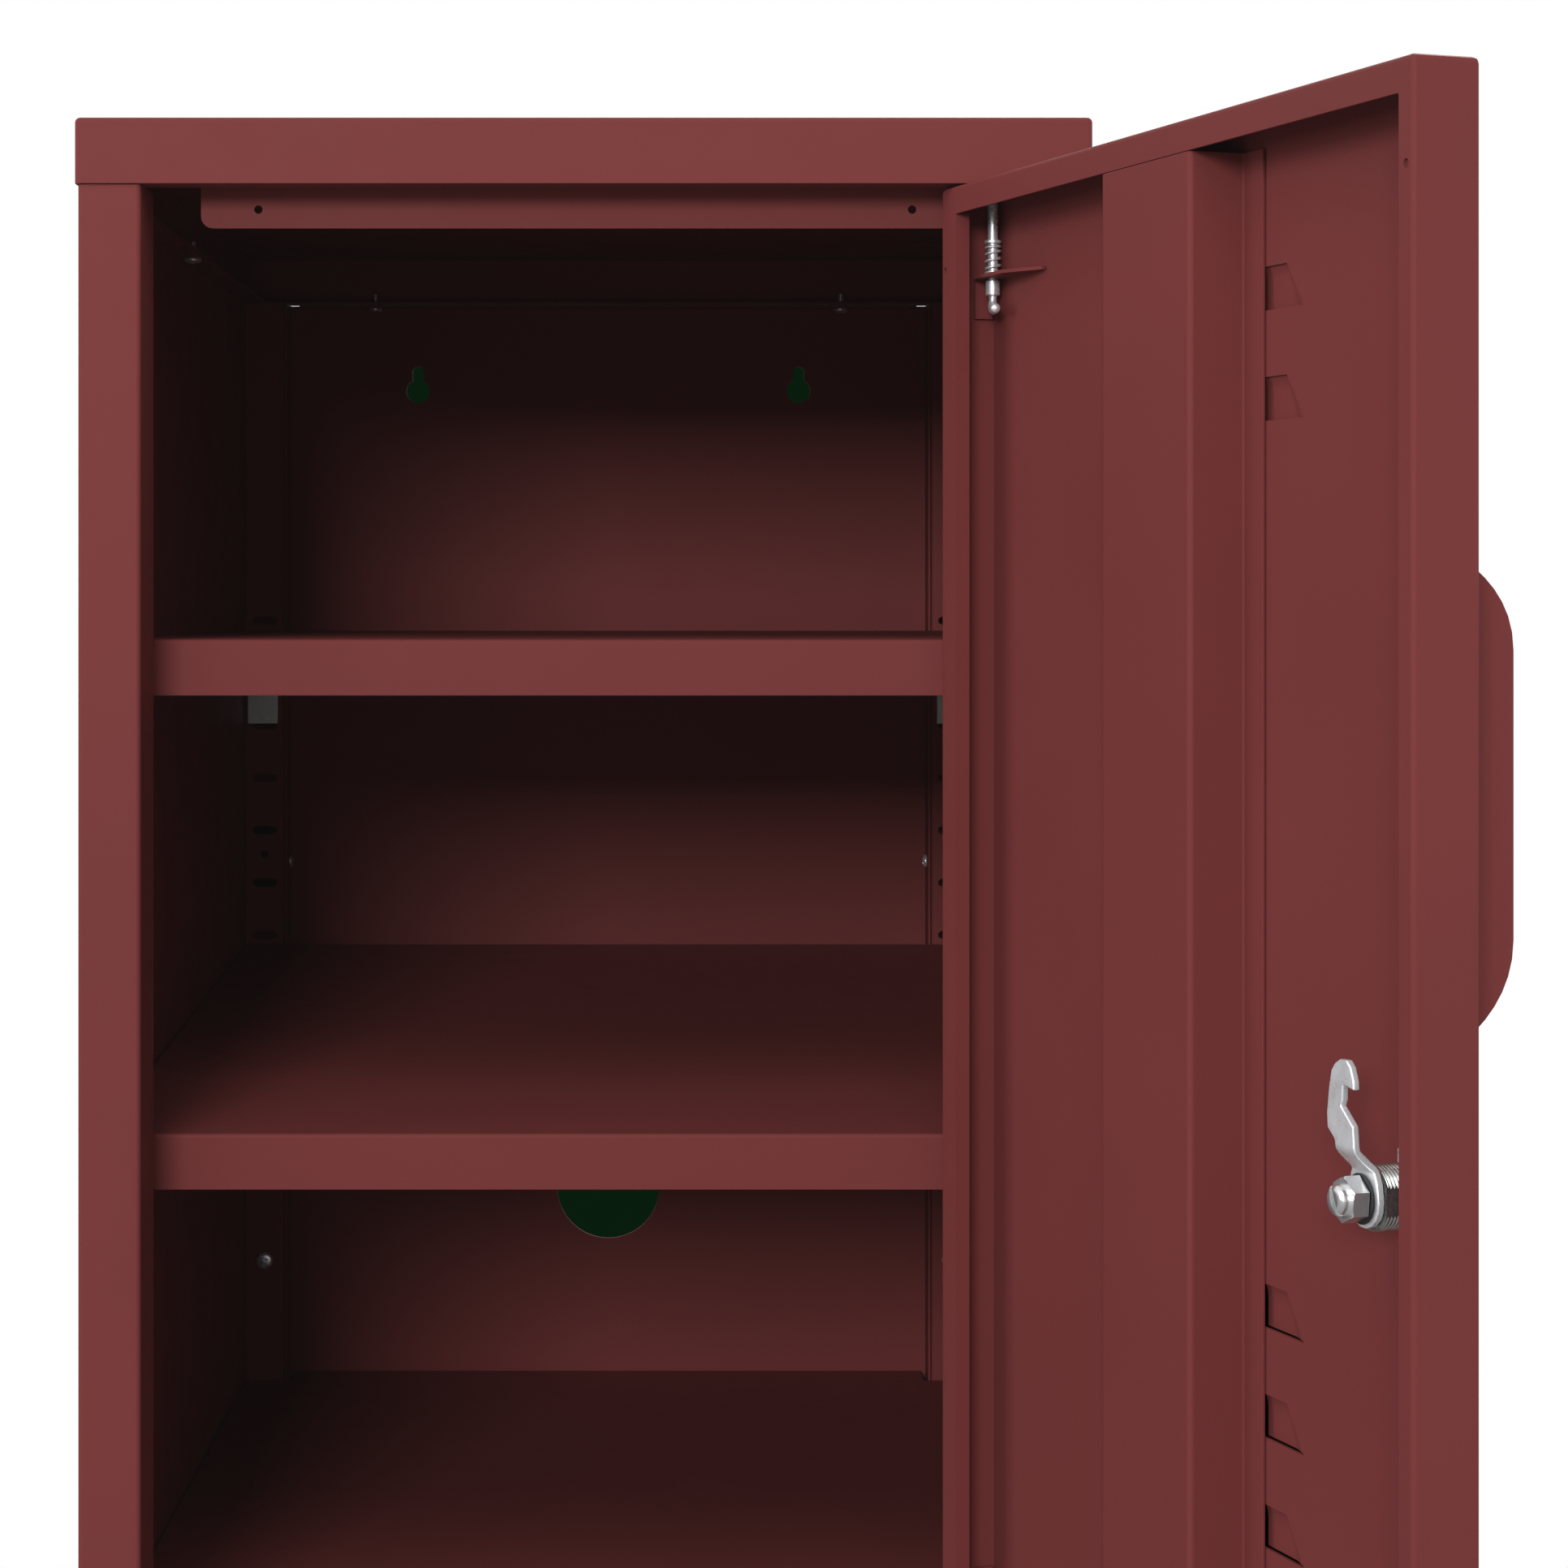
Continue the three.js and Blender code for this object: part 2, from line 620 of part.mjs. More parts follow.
function footGlide(corner) {
  const clearance = 0.25; // round the leg
  const outside = -1.2;
  const inside = LEG_T + 2.2;
  const end = LEG_W_FOOT + 1.6;
  const shoe = [
    [outside, outside],
    [outside, end],
    [inside, end],
    [inside, inside],
    [end, inside],
    [end, outside],
  ];
  // room for the leg's tapered edges
  const relief = [
    [LEG_W_FOOT - 0.6, LEG_FOOT + 3],
    [LEG_W_FOOT + 4, LEG_FOOT + 6],
    [LEG_W_FOOT + 6, 20],
    [LEG_W_FOOT - 0.6, 20],
  ];
  return cut(
    corner.sweepPlan(shoe, 0, 13),
    corner.angle(LEG_W_FOOT + clearance, LEG_T + 2 * clearance, LEG_FOOT - clearance, 20),
    corner.throughWalls(relief, -clearance, LEG_T + clearance),
  );
}
function legBolt({ boltX, boltY }) {
  const seat = LEG_TOP - LEG_T; // underside of the leg's plate
  return join(
    rod(5.6, "z", [boltX, boltY, 0], seat - 4.2, seat - 0.1, 6),
    rod(2.9, "z", [boltX, boltY, 0], seat - 1, LEG_H + 9, 12),
  );
}
for (const [side, sideName] of SIDES) {
  for (const end of ["front", "rear"]) {
    const corner = legCorner(side, end === "front");
    add(`leg_${end}_${sideName}`, leg(corner), PAINT);
    add(`foot_glide_${end}_${sideName}`, footGlide(corner), BLACK);
    add(`leg_bolt_${end}_${sideName}`, legBolt(corner), ZINC);
  }
}

// ---- door: all that swings is drawn closed, inside one group turned about the hinge axis ----
const door = new THREE.Group();
door.position.set(...HINGE_AXIS);
door.rotation.z = THREE.MathUtils.degToRad(DOOR_OPEN);
group.add(door);
function addDoor(name, shape, finish) {
  add(name, shape, finish, door).position.set(-HINGE_X, -HINGE_Y, 0);
}

const LIP_HINGE = 12; // width of the door's rear lip on the hinge side
const LIP_FREE = 7; // on the free side
const LIP_END = 9.6; // at the top and the bottom

const LOUVRE_PITCH = 32.4;
const LOUVRE_H = 13.8;
const LOUVRE_OUT = 2.0; // how far a louvre stands out
const LIP_HANG = 2.4; // how far its lip hangs below the slit
const LOUVRE_HALF_TOP = 52.6; // half width at the top edge
const LOUVRE_HALF = 62; // half width at the slit
// distance from the top of the locker to the first louvre's top edge, number of louvres
const LOUVRE_TOPS = [
  [67.4, 2],
  [366.3, 3],
].flatMap(([drop, count]) =>
  Array.from({ length: count }, (_, i) => HEIGHT - drop - i * LOUVRE_PITCH),
);

// The pressed hood of a louvre: flush along its top edge, then parallel to the skin, with a
// lip that hangs a little below the slit. Inset 0 gives the outside of the pressing.
function louvreHull(top, inset, hang) {
  const shoulder = 5.0; // height of the curved shoulder
  const endSlope = 5.5; // width of the sloped ends
  const backY = 0.6;
  const sideInset = inset * 0.6;
  const bottom = top - LOUVRE_H - hang;
  const points = [];
  const put = (x, y, z) => points.push(new THREE.Vector3(x, y, z));

  const rows = arc(0, 0, 1, 0, Math.PI / 2, 4).map(([cos, sin]) => [
    top - shoulder * (1 - cos),
    -LOUVRE_OUT * sin,
  ]);
  rows.push([bottom, -LOUVRE_OUT]);
  for (const [z, y] of rows) {
    const down = Math.min(1, (top - z) / LOUVRE_H);
    const half = LOUVRE_HALF_TOP + (LOUVRE_HALF - LOUVRE_HALF_TOP) * down;
    const x = half - (endSlope * -y) / LOUVRE_OUT - sideInset;
    const drop = z > bottom + 1e-6 ? inset * 0.5 : 0;
    for (const side of [-1, 1]) put(side * x, Math.min(y + inset, backY), z - drop);
  }
  // bulge of the sloped ends along the bottom edge
  for (const side of [-1, 1]) {
    for (const out of [0.35, 0.75]) {
      const x = LOUVRE_HALF - endSlope * (1 - Math.sqrt(1 - out * out)) - sideInset;
      put(side * x, -LOUVRE_OUT * out * 0.92 + inset, bottom);
    }
  }
  for (const side of [-1, 1]) {
    put(side * (LOUVRE_HALF_TOP - inset), backY, top - inset * 0.9);
    put(side * (LOUVRE_HALF - sideInset), backY, bottom);
  }
  return solid(new ConvexGeometry(points));
}
function pressLouvre(panel, top) {
  const slitZ = top - LOUVRE_H;
  const hood = cut(louvreHull(top, 0, LIP_HANG), box(-90, 90, 0.4, 6, top - 30, top + 5));
  const hollow = cut(
    louvreHull(top, 0.95, LIP_HANG + 2),
    box(-90, 90, -0.001, 6, top - 40, slitZ),
  );
  const opening = [
    [-LOUVRE_HALF_TOP + 1, top - 0.9],
    [LOUVRE_HALF_TOP - 1, top - 0.9],
    [LOUVRE_HALF - 0.7, slitZ],
    [-LOUVRE_HALF + 0.7, slitZ],
  ];
  return cut(join(panel, hood), hollow, sweepY(opening, -0.02, 2));
}

// pull tab: an upright D-shaped tab folded from a base strip
const HANDLE_X = -132; // plane of the pull tab
const HANDLE_SCREW_X = HANDLE_X + 9;
const HANDLE_SCREWS = [
  ["upper", HEIGHT - 172],
  ["lower", HEIGHT - 268],
];
function handleHoles(y0, y1) {
  return HANDLE_SCREWS.map(([, z]) => screwHole("y", [HANDLE_SCREW_X, 0, z], y0, y1));
}
function doorHandle() {
  const top = HEIGHT - 152.5;
  const bottom = HEIGHT - 288;
  const out = -21.6;
  const seat = -0.3;
  const half = 0.8; // half the sheet of the tab
  const curve = new THREE.Shape();
  curve.moveTo(seat, top);
  curve.bezierCurveTo(-9, top - 4, out, top - 12, out, top - 27.5);
  curve.lineTo(out, bottom + 30);
  curve.bezierCurveTo(out, bottom + 14, -9, bottom + 4, seat, bottom);
  curve.lineTo(seat, top);
  // the last point repeats the first
  const outline = curve.getPoints(9).slice(0, -1).map(({ x, y }) => [x, y]);
  const strip = roundRect(HANDLE_X - half, HANDLE_X + 16, bottom, top, 3, 3);
  return cut(
    join(sweepX(outline, HANDLE_X - half, HANDLE_X + half), sweepY(strip, -1.9, seat)),
    handleHoles(-1.4, 2),
  );
}

function doorPanel() {
  const inner = DOOR_HALF_W - SHEET;
  const lipBottom = DOOR_BOTTOM + LIP_END;
  const lipTop = DOOR_TOP - LIP_END;
  const hemX = DOOR_HALF_W - LIP_HINGE;
  const window = roundRect(-DOOR_HALF_W + LIP_FREE, hemX, lipBottom, lipTop, 0.5, 1);
  const shell = cut(
    softBlockY(-DOOR_HALF_W, DOOR_HALF_W, 0, DOOR_T, DOOR_BOTTOM, DOOR_TOP, 1.5),
    box(-inner, inner, SHEET, DOOR_T - SHEET, DOOR_BOTTOM + SHEET, DOOR_TOP - SHEET),
    sweepY(window, DOOR_T - 3, DOOR_T + 3),
  );
  // the short return on the hinge-side lip
  const hem = box(hemX, hemX + SHEET, DOOR_T - 5.2, DOOR_T - SHEET + 0.2, lipBottom, lipTop);
  return cut(
    LOUVRE_TOPS.reduce(pressLouvre, join(shell, hem)),
    mirrored((side) =>
      rod(1.3, "y", [side * 146.8, 0, HEIGHT - 52.3], DOOR_T - 3, DOOR_T + 2, 12),
    ),
    pinHole(DOOR_TOP),
    pinHole(DOOR_BOTTOM),
    rod(9.3, "y", [LOCK_X, 0, LOCK_Z], -3, 3, 28),
    handleHoles(-3, 3),
  );
}

// hat-section stiffener down the middle of the door
function doorStiffener() {
  const brimY = SHEET + 0.3 + HALF_SHEET;
  const crownY = DOOR_T - HALF_SHEET - 0.05;
  const path = [
    [-39.8, brimY],
    [-28.2, brimY],
    [-28.2, crownY],
    [28.2, crownY],
    [28.2, brimY],
    [39.8, brimY],
  ];
  return sweepZ(folded(path), DOOR_BOTTOM + LIP_END + 0.15, DOOR_TOP - LIP_END - 0.15);
}
addDoor("door_panel", doorPanel(), PAINT);
addDoor("door_stiffener", doorStiffener(), PAINT);
addDoor("door_handle", doorHandle(), PAINT);
for (const [name, z] of HANDLE_SCREWS) {
  const seat = [HANDLE_SCREW_X, SHEET + 0.1, z];
  addDoor(`handle_screw_${name}`, screw([0, 1, 0], seat, { shankR: 1.6, length: 2.2 }), ZINC);
}

// ---- hinges ----
const BRACKET_T = 1.2;
const UPPER_BRACKET_Z = HEIGHT - 54.4;
const LOWER_BRACKET_Z = DOOR_BOTTOM + (DOOR_TOP - UPPER_BRACKET_Z);
const COLLAR_BOTTOM = HEIGHT - 42.9; // collar of the upper pin

// a tapered level plate with a flange folded along the door's hinge side
function hingeBracket(z, flangeDirection) {
  const flange = [
    [144.6, z],
    [148.2, z],
    [148.2, z + flangeDirection * 14],
  ];
  const plate = [
    [107, 1.9],
    [146.4, 1.9],
    [146.4, 9.3],
    [145.1, 10.6],
    [122, 10.6],
    [108.5, 4.2],
    [107, 3.2],
  ];
  return cut(
    join(
      sweepY(folded(flange, { thickness: BRACKET_T, steps: 2 }), 2.1, 8.8),
      sweepZ(plate, z - BRACKET_T / 2, z + BRACKET_T / 2),
    ),
    pinHole(z),
  );
}
addDoor("upper_hinge_bracket", hingeBracket(UPPER_BRACKET_Z, -1), PAINT);
addDoor("lower_hinge_bracket", hingeBracket(LOWER_BRACKET_Z, 1), PAINT);

// the middle of a rod bent once: down the hinge axis, then level
class BentRod extends THREE.Curve {
  constructor({ top, bottom, bend, arm, direction }) {
    super();
    Object.assign(this, { bottom, bend, direction, top });
    this.straight = top - bottom - bend;
    this.bent = (Math.PI / 2) * bend;
    this.total = this.straight + this.bent + arm - bend;
  }
  getPoint(t, target = new THREE.Vector3()) {
    const { top, bottom, bend, direction, straight, bent } = this;
    const travel = t * this.total;
    let out = 0;
    let z = top - travel;
    if (travel > straight + bent) {
      out = bend + (travel - straight - bent);
      z = bottom;
    } else if (travel > straight) {
      const angle = (travel - straight) / bend;
      out = bend * (1 - Math.cos(angle));
      z = bottom + bend - bend * Math.sin(angle);
    }
    return target.set(HINGE_X + direction[0] * out, HINGE_Y + direction[1] * out, z);
  }
}
// a helix round the hinge axis
class Helix extends THREE.Curve {
  constructor({ radius, bottom, top, turns }) {
    super();
    Object.assign(this, { radius, bottom, top, turns });
  }
  getPoint(t, target = new THREE.Vector3()) {
    const angle = 2 * Math.PI * this.turns * t;
    return target.set(
      HINGE_X + this.radius * Math.cos(angle),
      HINGE_Y + this.radius * Math.sin(angle),
      this.bottom + (this.top - this.bottom) * t,
    );
  }
}
function polygon(radius, count, centreX = 0, centreY = 0, turn = 0) {
  return Array.from({ length: count }, (_, i) => {
    const angle = (2 * Math.PI * i) / count + turn;
    return [centreX + radius * Math.cos(angle), centreY + radius * Math.sin(angle)];
  });
}
const wire = (radius, sides, extrudePath, steps) =>
  solid(extrude(polygon(radius, sides), { steps, extrudePath }));

const PIN_R = 1.75;
const hingeRod = (radius, z0, z1) => rod(radius, "z", HINGE_AXIS, z0, z1);
function upperHingePin() {
  const path = new BentRod({
    top: HEIGHT - 18.6,
    bottom: HEIGHT - 66,
    bend: 3.4,
    arm: 10.5,
    direction: [-0.944, 0.33],
  });
  return join(
    wire(PIN_R, 12, path, 40),
    hingeRod(2.9, COLLAR_BOTTOM, HEIGHT - 41.7),
    hingeRod(2.5, HEIGHT - 60.8, HEIGHT - 55.6),
  );
}
function lowerHingePin() {
  return join(
    hingeRod(PIN_R, BASE_TOP - 4.4, LOWER_BRACKET_Z + 12),
    hingeRod(2.9, LOWER_BRACKET_Z + 0.75, LOWER_BRACKET_Z + 2.2),
    hingeRod(2.9, LOWER_BRACKET_Z - 2.2, LOWER_BRACKET_Z - 0.75),
  );
}
// return spring between the bracket and the pin's collar
function hingeSpring() {
  const endGap = 0.55; // from the middle of the wire to the faces at its ends
  const path = new Helix({
    radius: 2.45,
    bottom: UPPER_BRACKET_Z + BRACKET_T / 2 + endGap,
    top: COLLAR_BOTTOM - endGap,
    turns: 4,
  });
  return wire(0.42, 6, path, 64);
}
addDoor("upper_hinge_pin", upperHingePin(), ZINC);
addDoor("lower_hinge_pin", lowerHingePin(), ZINC);
addDoor("upper_hinge_spring", hingeSpring(), CHROME);

// ---- cam lock: barrel and clip on the door; plug, cam, washer and screw on its axis ----
const lockRod = (radius, y0, y1, segments) =>
  rod(radius, "y", [LOCK_X, 0, LOCK_Z], y0, y1, segments);
// bounds and points in x and z are measured from the lock axis
const lockBox = (x0, x1, y0, y1, z0, z1) =>
  box(LOCK_X + x0, LOCK_X + x1, y0, y1, LOCK_Z + z0, LOCK_Z + z1);
const lockSweep = (points, y0, y1) =>
  sweepY(points.map(([x, z]) => [LOCK_X + x, LOCK_Z + z]), y0, y1);

function lockBarrel() {
  // the spring clip's two legs sit in a groove on each side
  const grooves = mirrored((side) =>
    lockBox(side * 7.65, side * 12, SHEET + 0.1, SHEET + 1.7, -13, 13),
  );
  return cut(
    join(lockRod(9.0, -0.9, 17.8, 28), lockRod(11.2, -2.4, -0.3, 28)),
    lockRod(6.3, -5, 20, 24),
    grooves,
  );
}
function lockClip() {
  const outline = [
    [-11.5, -8.6], [-10.6, -9.6], [-8.6, -9.6], [-7.0, -8.0],
    [7.0, -8.0], [8.6, -9.6], [10.6, -9.6], [11.5, -8.6],
    [11.5, 10.5], [9.5, 12.5], [-9.5, 12.5], [-11.5, 10.5],
  ];
  return cut(
    lockSweep(outline, SHEET + 0.3, SHEET + 1.5),
    lockBox(-7.9, 7.9, 0, 6, -20, 0),
    lockBox(-7.9, 7.9, 0, 6, -0.1, 9.3),
  );
}
function lockPlug() {
  const keySlot = lockBox(-0.7, 0.7, -6, 0.6, -3.6, 3.6);
  return cut(
    join(lockRod(5.95, -2.7, 17.4, 24), lockRod(4.2, 16, 20.1, 20)),
    keySlot,
    lockRod(3.0, 8, 24, 16),
  );
}
function lockCam() {
  // distance towards the door's free edge, height, both from the lock axis
  const outline = [
    [-7.6, -2.5], [-6.4, -4.9], [-4.2, -6.8], [-1.4, -7.9], [1.4, -7.9], [4.2, -6.8],
    [6.4, -4.9], [7.6, -2.5], [7.9, 0], [7.0, 5.0], [4.6, 10.4], [4.2, 14.4],
    [3.6, 20.0], [-2.6, 24.8], [-1.7, 26.2], [-1.5, 30.6], [4.1, 29.6], [3.9, 32.2],
    [2.4, 35.6], [0.4, 37.3], [-3.0, 37.2], [-5.6, 35.8], [-7.3, 33.9], [-8.4, 30.0],
    [-8.9, 27.3], [-9.7, 22.0], [-9.4, 18.0], [-5.6, 15.2], [-5.4, 8.0], [-7.4, 3.0],
    [-7.9, 0],
  ].map(([towardsEdge, z]) => [-towardsEdge, z]);
  // the cranked strip that the outline is cut from
  const crank = [
    [19.23, LOCK_Z - 12],
    [19.23, LOCK_Z + 8.0],
    [24.5, LOCK_Z + 13.2],
    [24.5, LOCK_Z + 42],
  ];
  const band = sweepX(
    folded(crank, { thickness: 2.0, radius: 2.4, steps: 2 }),
    LOCK_X - 20,
    LOCK_X + 20,
  );
  return cut(lockSweep(outline, 16, 30).intersect(band), lockRod(4.5, 10, 30, 20));
}
function camScrew() {
  const hexTurn = 0.42; // radians
  const slotTurn = 1.2;
  const cos = Math.cos(slotTurn);
  const sin = Math.sin(slotTurn);
  const slot = [
    [-6, -0.6],
    [6, -0.6],
    [6, 0.6],
    [-6, 0.6],
  ].map(([u, v]) => [u * cos - v * sin, u * sin + v * cos]);
  return cut(
    join(
      lockSweep(polygon(6.4, 6, 0, 0, hexTurn), 21.6, 26.4),
      lockRod(4.3, 26, 29.2, 24),
      lockRod(2.7, 9, 22, 16),
    ),
    lockSweep(slot, 27.8, 31),
  );
}
addDoor("lock_barrel", lockBarrel(), CHROME);
addDoor("lock_clip", lockClip(), ZINC);
addDoor("lock_plug", lockPlug(), CHROME);
addDoor("lock_cam", lockCam(), CHROME);
addDoor("cam_washer", cut(lockRod(6.9, 20.5, 21.3, 20), lockRod(3.0, 10, 30, 16)), BLACK);
addDoor("cam_screw", camScrew(), CHROME);

// ---- the origin: the middle of the footprint, on the floor ----
const root = new THREE.Group();
root.add(group);
root.updateMatrixWorld(true);
const { min, max } = new THREE.Box3().setFromObject(group, true);
group.position.set(-(min.x + max.x) / 2, -(min.y + max.y) / 2, 0);

export default root;
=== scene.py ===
"""School locker: paint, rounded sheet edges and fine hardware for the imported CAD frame.

The locker stands on the floor (z = 0) with its front towards -Y and its door ajar.
"""
from functools import lru_cache
import json
import math

import bmesh
import bpy
from mathutils import Matrix, Vector

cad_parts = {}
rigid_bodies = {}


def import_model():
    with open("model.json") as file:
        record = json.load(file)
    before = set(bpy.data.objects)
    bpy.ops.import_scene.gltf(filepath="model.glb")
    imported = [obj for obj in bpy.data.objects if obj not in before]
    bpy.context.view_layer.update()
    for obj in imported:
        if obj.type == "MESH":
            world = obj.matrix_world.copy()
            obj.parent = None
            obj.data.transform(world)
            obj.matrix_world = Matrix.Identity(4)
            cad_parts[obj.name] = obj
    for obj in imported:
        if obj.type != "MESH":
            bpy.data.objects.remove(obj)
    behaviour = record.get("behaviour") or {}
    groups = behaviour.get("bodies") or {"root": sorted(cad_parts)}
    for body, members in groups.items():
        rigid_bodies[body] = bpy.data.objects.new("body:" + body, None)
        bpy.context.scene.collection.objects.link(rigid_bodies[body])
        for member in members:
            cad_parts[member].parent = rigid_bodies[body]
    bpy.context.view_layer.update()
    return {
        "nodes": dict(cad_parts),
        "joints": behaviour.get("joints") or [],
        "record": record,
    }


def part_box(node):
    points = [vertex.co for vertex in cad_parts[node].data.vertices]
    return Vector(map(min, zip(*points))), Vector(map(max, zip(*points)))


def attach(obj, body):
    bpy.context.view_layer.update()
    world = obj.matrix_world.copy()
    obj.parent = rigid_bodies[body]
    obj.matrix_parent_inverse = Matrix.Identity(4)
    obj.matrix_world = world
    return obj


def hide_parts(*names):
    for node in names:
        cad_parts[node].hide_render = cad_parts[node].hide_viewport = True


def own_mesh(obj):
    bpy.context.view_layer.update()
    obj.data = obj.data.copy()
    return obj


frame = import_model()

NODES = frame["nodes"]
JOINTS = {joint["name"]: joint for joint in frame["joints"]}
SLOTS = {part["node"]: part["material_slot"] for part in frame["record"]["subparts"]}
BODY = {
    node: body
    for body, nodes in frame["record"]["behaviour"]["bodies"].items()
    for node in nodes
}
MM = 0.001

# Design coordinates, in millimetres: x from the middle of the body, y from the front faces
# of the door posts, z from the floor.
COVER_OVERHANG = 1.0 * MM
cover_lo, cover_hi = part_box("top_cover")
ORIGIN = Vector(((cover_lo.x + cover_hi.x) / 2, cover_lo.y + COVER_OVERHANG, 0))
TO_FRAME = Matrix.Translation(ORIGIN) @ Matrix.Scale(MM, 4)

# The door's pieces are drawn closed and then turned to where the door stands at rest.
hinge = JOINTS["door_hinge"]
HINGE = Vector((hinge["pos_m"][0], hinge["pos_m"][1], 0))
OPEN_ANGLE = math.radians(-hinge["range_deg"][0])
DOOR = (
    Matrix.Translation(HINGE)
    @ Matrix.Rotation(OPEN_ANGLE, 4, "Z")
    @ Matrix.Translation(-HINGE)
    @ TO_FRAME
)
HINGE_AXIS = TO_FRAME.inverted() @ HINGE


def local_box(node, place=TO_FRAME):
    """A node's lowest and highest corner in design coordinates (door closed if place is DOOR)."""
    inverse = place.inverted()
    points = [inverse @ v.co for v in NODES[node].data.vertices]
    lo = Vector([min(p[i] for p in points) for i in range(3)])
    hi = Vector([max(p[i] for p in points) for i in range(3)])
    return lo, hi


# ------------------------------------------------------------------ materials
def shade(colour, factor, lift=0.0):
    return tuple(c * factor + lift for c in colour)


class Shader:
    """A material with a Principled shader, and short ways to add and link nodes."""

    def __init__(self, name):
        self.mat = bpy.data.materials.new(name)
        self.mat.use_nodes = True
        self.tree = self.mat.node_tree
        self.tree.nodes.clear()
        self.out = self.node("ShaderNodeOutputMaterial")
        self.bsdf = self.node("ShaderNodeBsdfPrincipled")
        self.link(self.bsdf.outputs[0], self.out.inputs[0])

    def node(self, kind, **props):
        node = self.tree.nodes.new(kind)
        for key, value in props.items():
            setattr(node, key, value)
        return node

    def link(self, source, socket):
        self.tree.links.new(source, socket)

    def feed(self, socket, value):
        """Links a socket, or sets a number or an RGB colour."""
        if isinstance(value, bpy.types.NodeSocket):
            self.link(value, socket)
        elif isinstance(value, tuple):
            socket.default_value = (*value, 1.0)
        else:
            socket.default_value = value

    def principled(self, **values):
        """Feeds inputs of the Principled shader; an underscore stands for a space."""
        for key, value in values.items():
            self.feed(self.bsdf.inputs[key.replace("_", " ")], value)

    def coords(self, scale=(1, 1, 1)):
        mapping = self.node("ShaderNodeMapping")
        mapping.inputs["Scale"].default_value = scale
        source = self.node("ShaderNodeTexCoord").outputs["Object"]
        self.link(source, mapping.inputs["Vector"])
        return mapping.outputs["Vector"]

    def noise(self, vector, scale, detail=2.0, rough=0.5):
        noise = self.node("ShaderNodeTexNoise")
        noise.inputs["Scale"].default_value = scale
        noise.inputs["Detail"].default_value = detail
        noise.inputs["Roughness"].default_value = rough
        self.link(vector, noise.inputs["Vector"])
        return noise.outputs["Fac"]

    def remap(self, value, low, high, to_low=0.0, to_high=1.0):
        remap = self.node("ShaderNodeMapRange")
        remap.inputs["From Min"].default_value = low
        remap.inputs["From Max"].default_value = high
        remap.inputs["To Min"].default_value = to_low
        remap.inputs["To Max"].default_value = to_high
        self.link(value, remap.inputs["Value"])
        return remap.outputs["Result"]

    def calc(self, operation, *values, clamp=False):
        node = self.node("ShaderNodeMath", operation=operation, use_clamp=clamp)
        for socket, value in zip(node.inputs, values):
            self.feed(socket, value)
        return node.outputs[0]

    def dot(self, vector, fixed):
        node = self.node("ShaderNodeVectorMath", operation="DOT_PRODUCT")
        self.link(vector, node.inputs[0])
        node.inputs[1].default_value = fixed
        return node.outputs["Value"]

    def mix(self, factor, first, second):
        node = self.node("ShaderNodeMix", data_type="RGBA")
        self.feed(node.inputs["Factor"], factor)
        self.feed(node.inputs[6], first)
        self.feed(node.inputs[7], second)
        return node.outputs[2]

    def bump(self, height, distance, normal=None):
        bump = self.node("ShaderNodeBump")
        bump.inputs["Distance"].default_value = distance
        self.link(height, bump.inputs["Height"])
        if normal is not None:
            self.link(normal, bump.inputs["Normal"])
        return bump.outputs["Normal"]


# Louvres in the closed door, in mm: the z of the top edge, and how strong the painted shade in the
# slit is (0 to 1).
LOUVRE_PITCH = 32.4
LOUVRE_H = 13.8
LOUVRES = [(657.6 - LOUVRE_PITCH * i, 0.35) for i in range(2)]
LOUVRES += [(358.7 - LOUVRE_PITCH * i, 1.0) for i in range(3)]
SLIT_HALF_W = 63
HOLLOW_HALF_W = 37.5
GAP_FRONT_Y = -1.6
SLIT_BACK_Y = -0.01
HOLLOW_BACK_Y = 0.9


def louvre_painted_shade(shader):
    """A mask of painted shade on the door: the louvres' slits, and their hollows behind the
    stiffener.
    """
    source = shader.node("ShaderNodeTexCoord")
    x, y, z = [
        shader.calc("ADD", shader.dot(source.outputs["Object"], row[:3]), row[3])
        for row in DOOR.inverted()[:3]
    ]
    # only faces that look towards the back of the door
    backward = (DOOR.to_3x3() @ Vector((0, 1, 0))).normalized()
    facing = shader.dot(source.outputs["Normal"], backward)
    inner = shader.calc("GREATER_THAN", facing, 0.12)

    def within(value, low, high):
        return shader.calc("COMPARE", value, (low + high) / 2, (high - low) / 2)

    def column(half_width, back_y):
        across = within(x, -half_width, half_width)
        return shader.calc("MULTIPLY", across, within(y, GAP_FRONT_Y, back_y))

    slit = column(SLIT_HALF_W, SLIT_BACK_Y)
    hollow = column(HOLLOW_HALF_W, HOLLOW_BACK_Y)
    total = 0.0
    for top, strength in LOUVRES:
        bottom = top - LOUVRE_H
        in_slit = shader.calc("MULTIPLY", slit, within(z, bottom - 2.6, bottom + 0.2))
        in_hollow = shader.calc("MULTIPLY", hollow, within(z, bottom, top))
        here = shader.calc("MAXIMUM", in_slit, in_hollow)
        total = shader.calc("MAXIMUM", shader.calc("MULTIPLY", here, strength), total)
    return shader.calc("MULTIPLY", total, inner)


BURGUNDY = (0.185, 0.0400, 0.0388)
# painted shade: the near-black colour of the louvres' slits and hollows
LOUVRE_SHADE_COLOUR = (0.004, 0.003, 0.003)
PAINT_SPECULAR = 0.06
# painted glow: a faint emission on the paint that stands in for stray light
PAINTED_GLOW = 0.0034  # strength of stray light on the paint, so that deep shadows aren't pure red


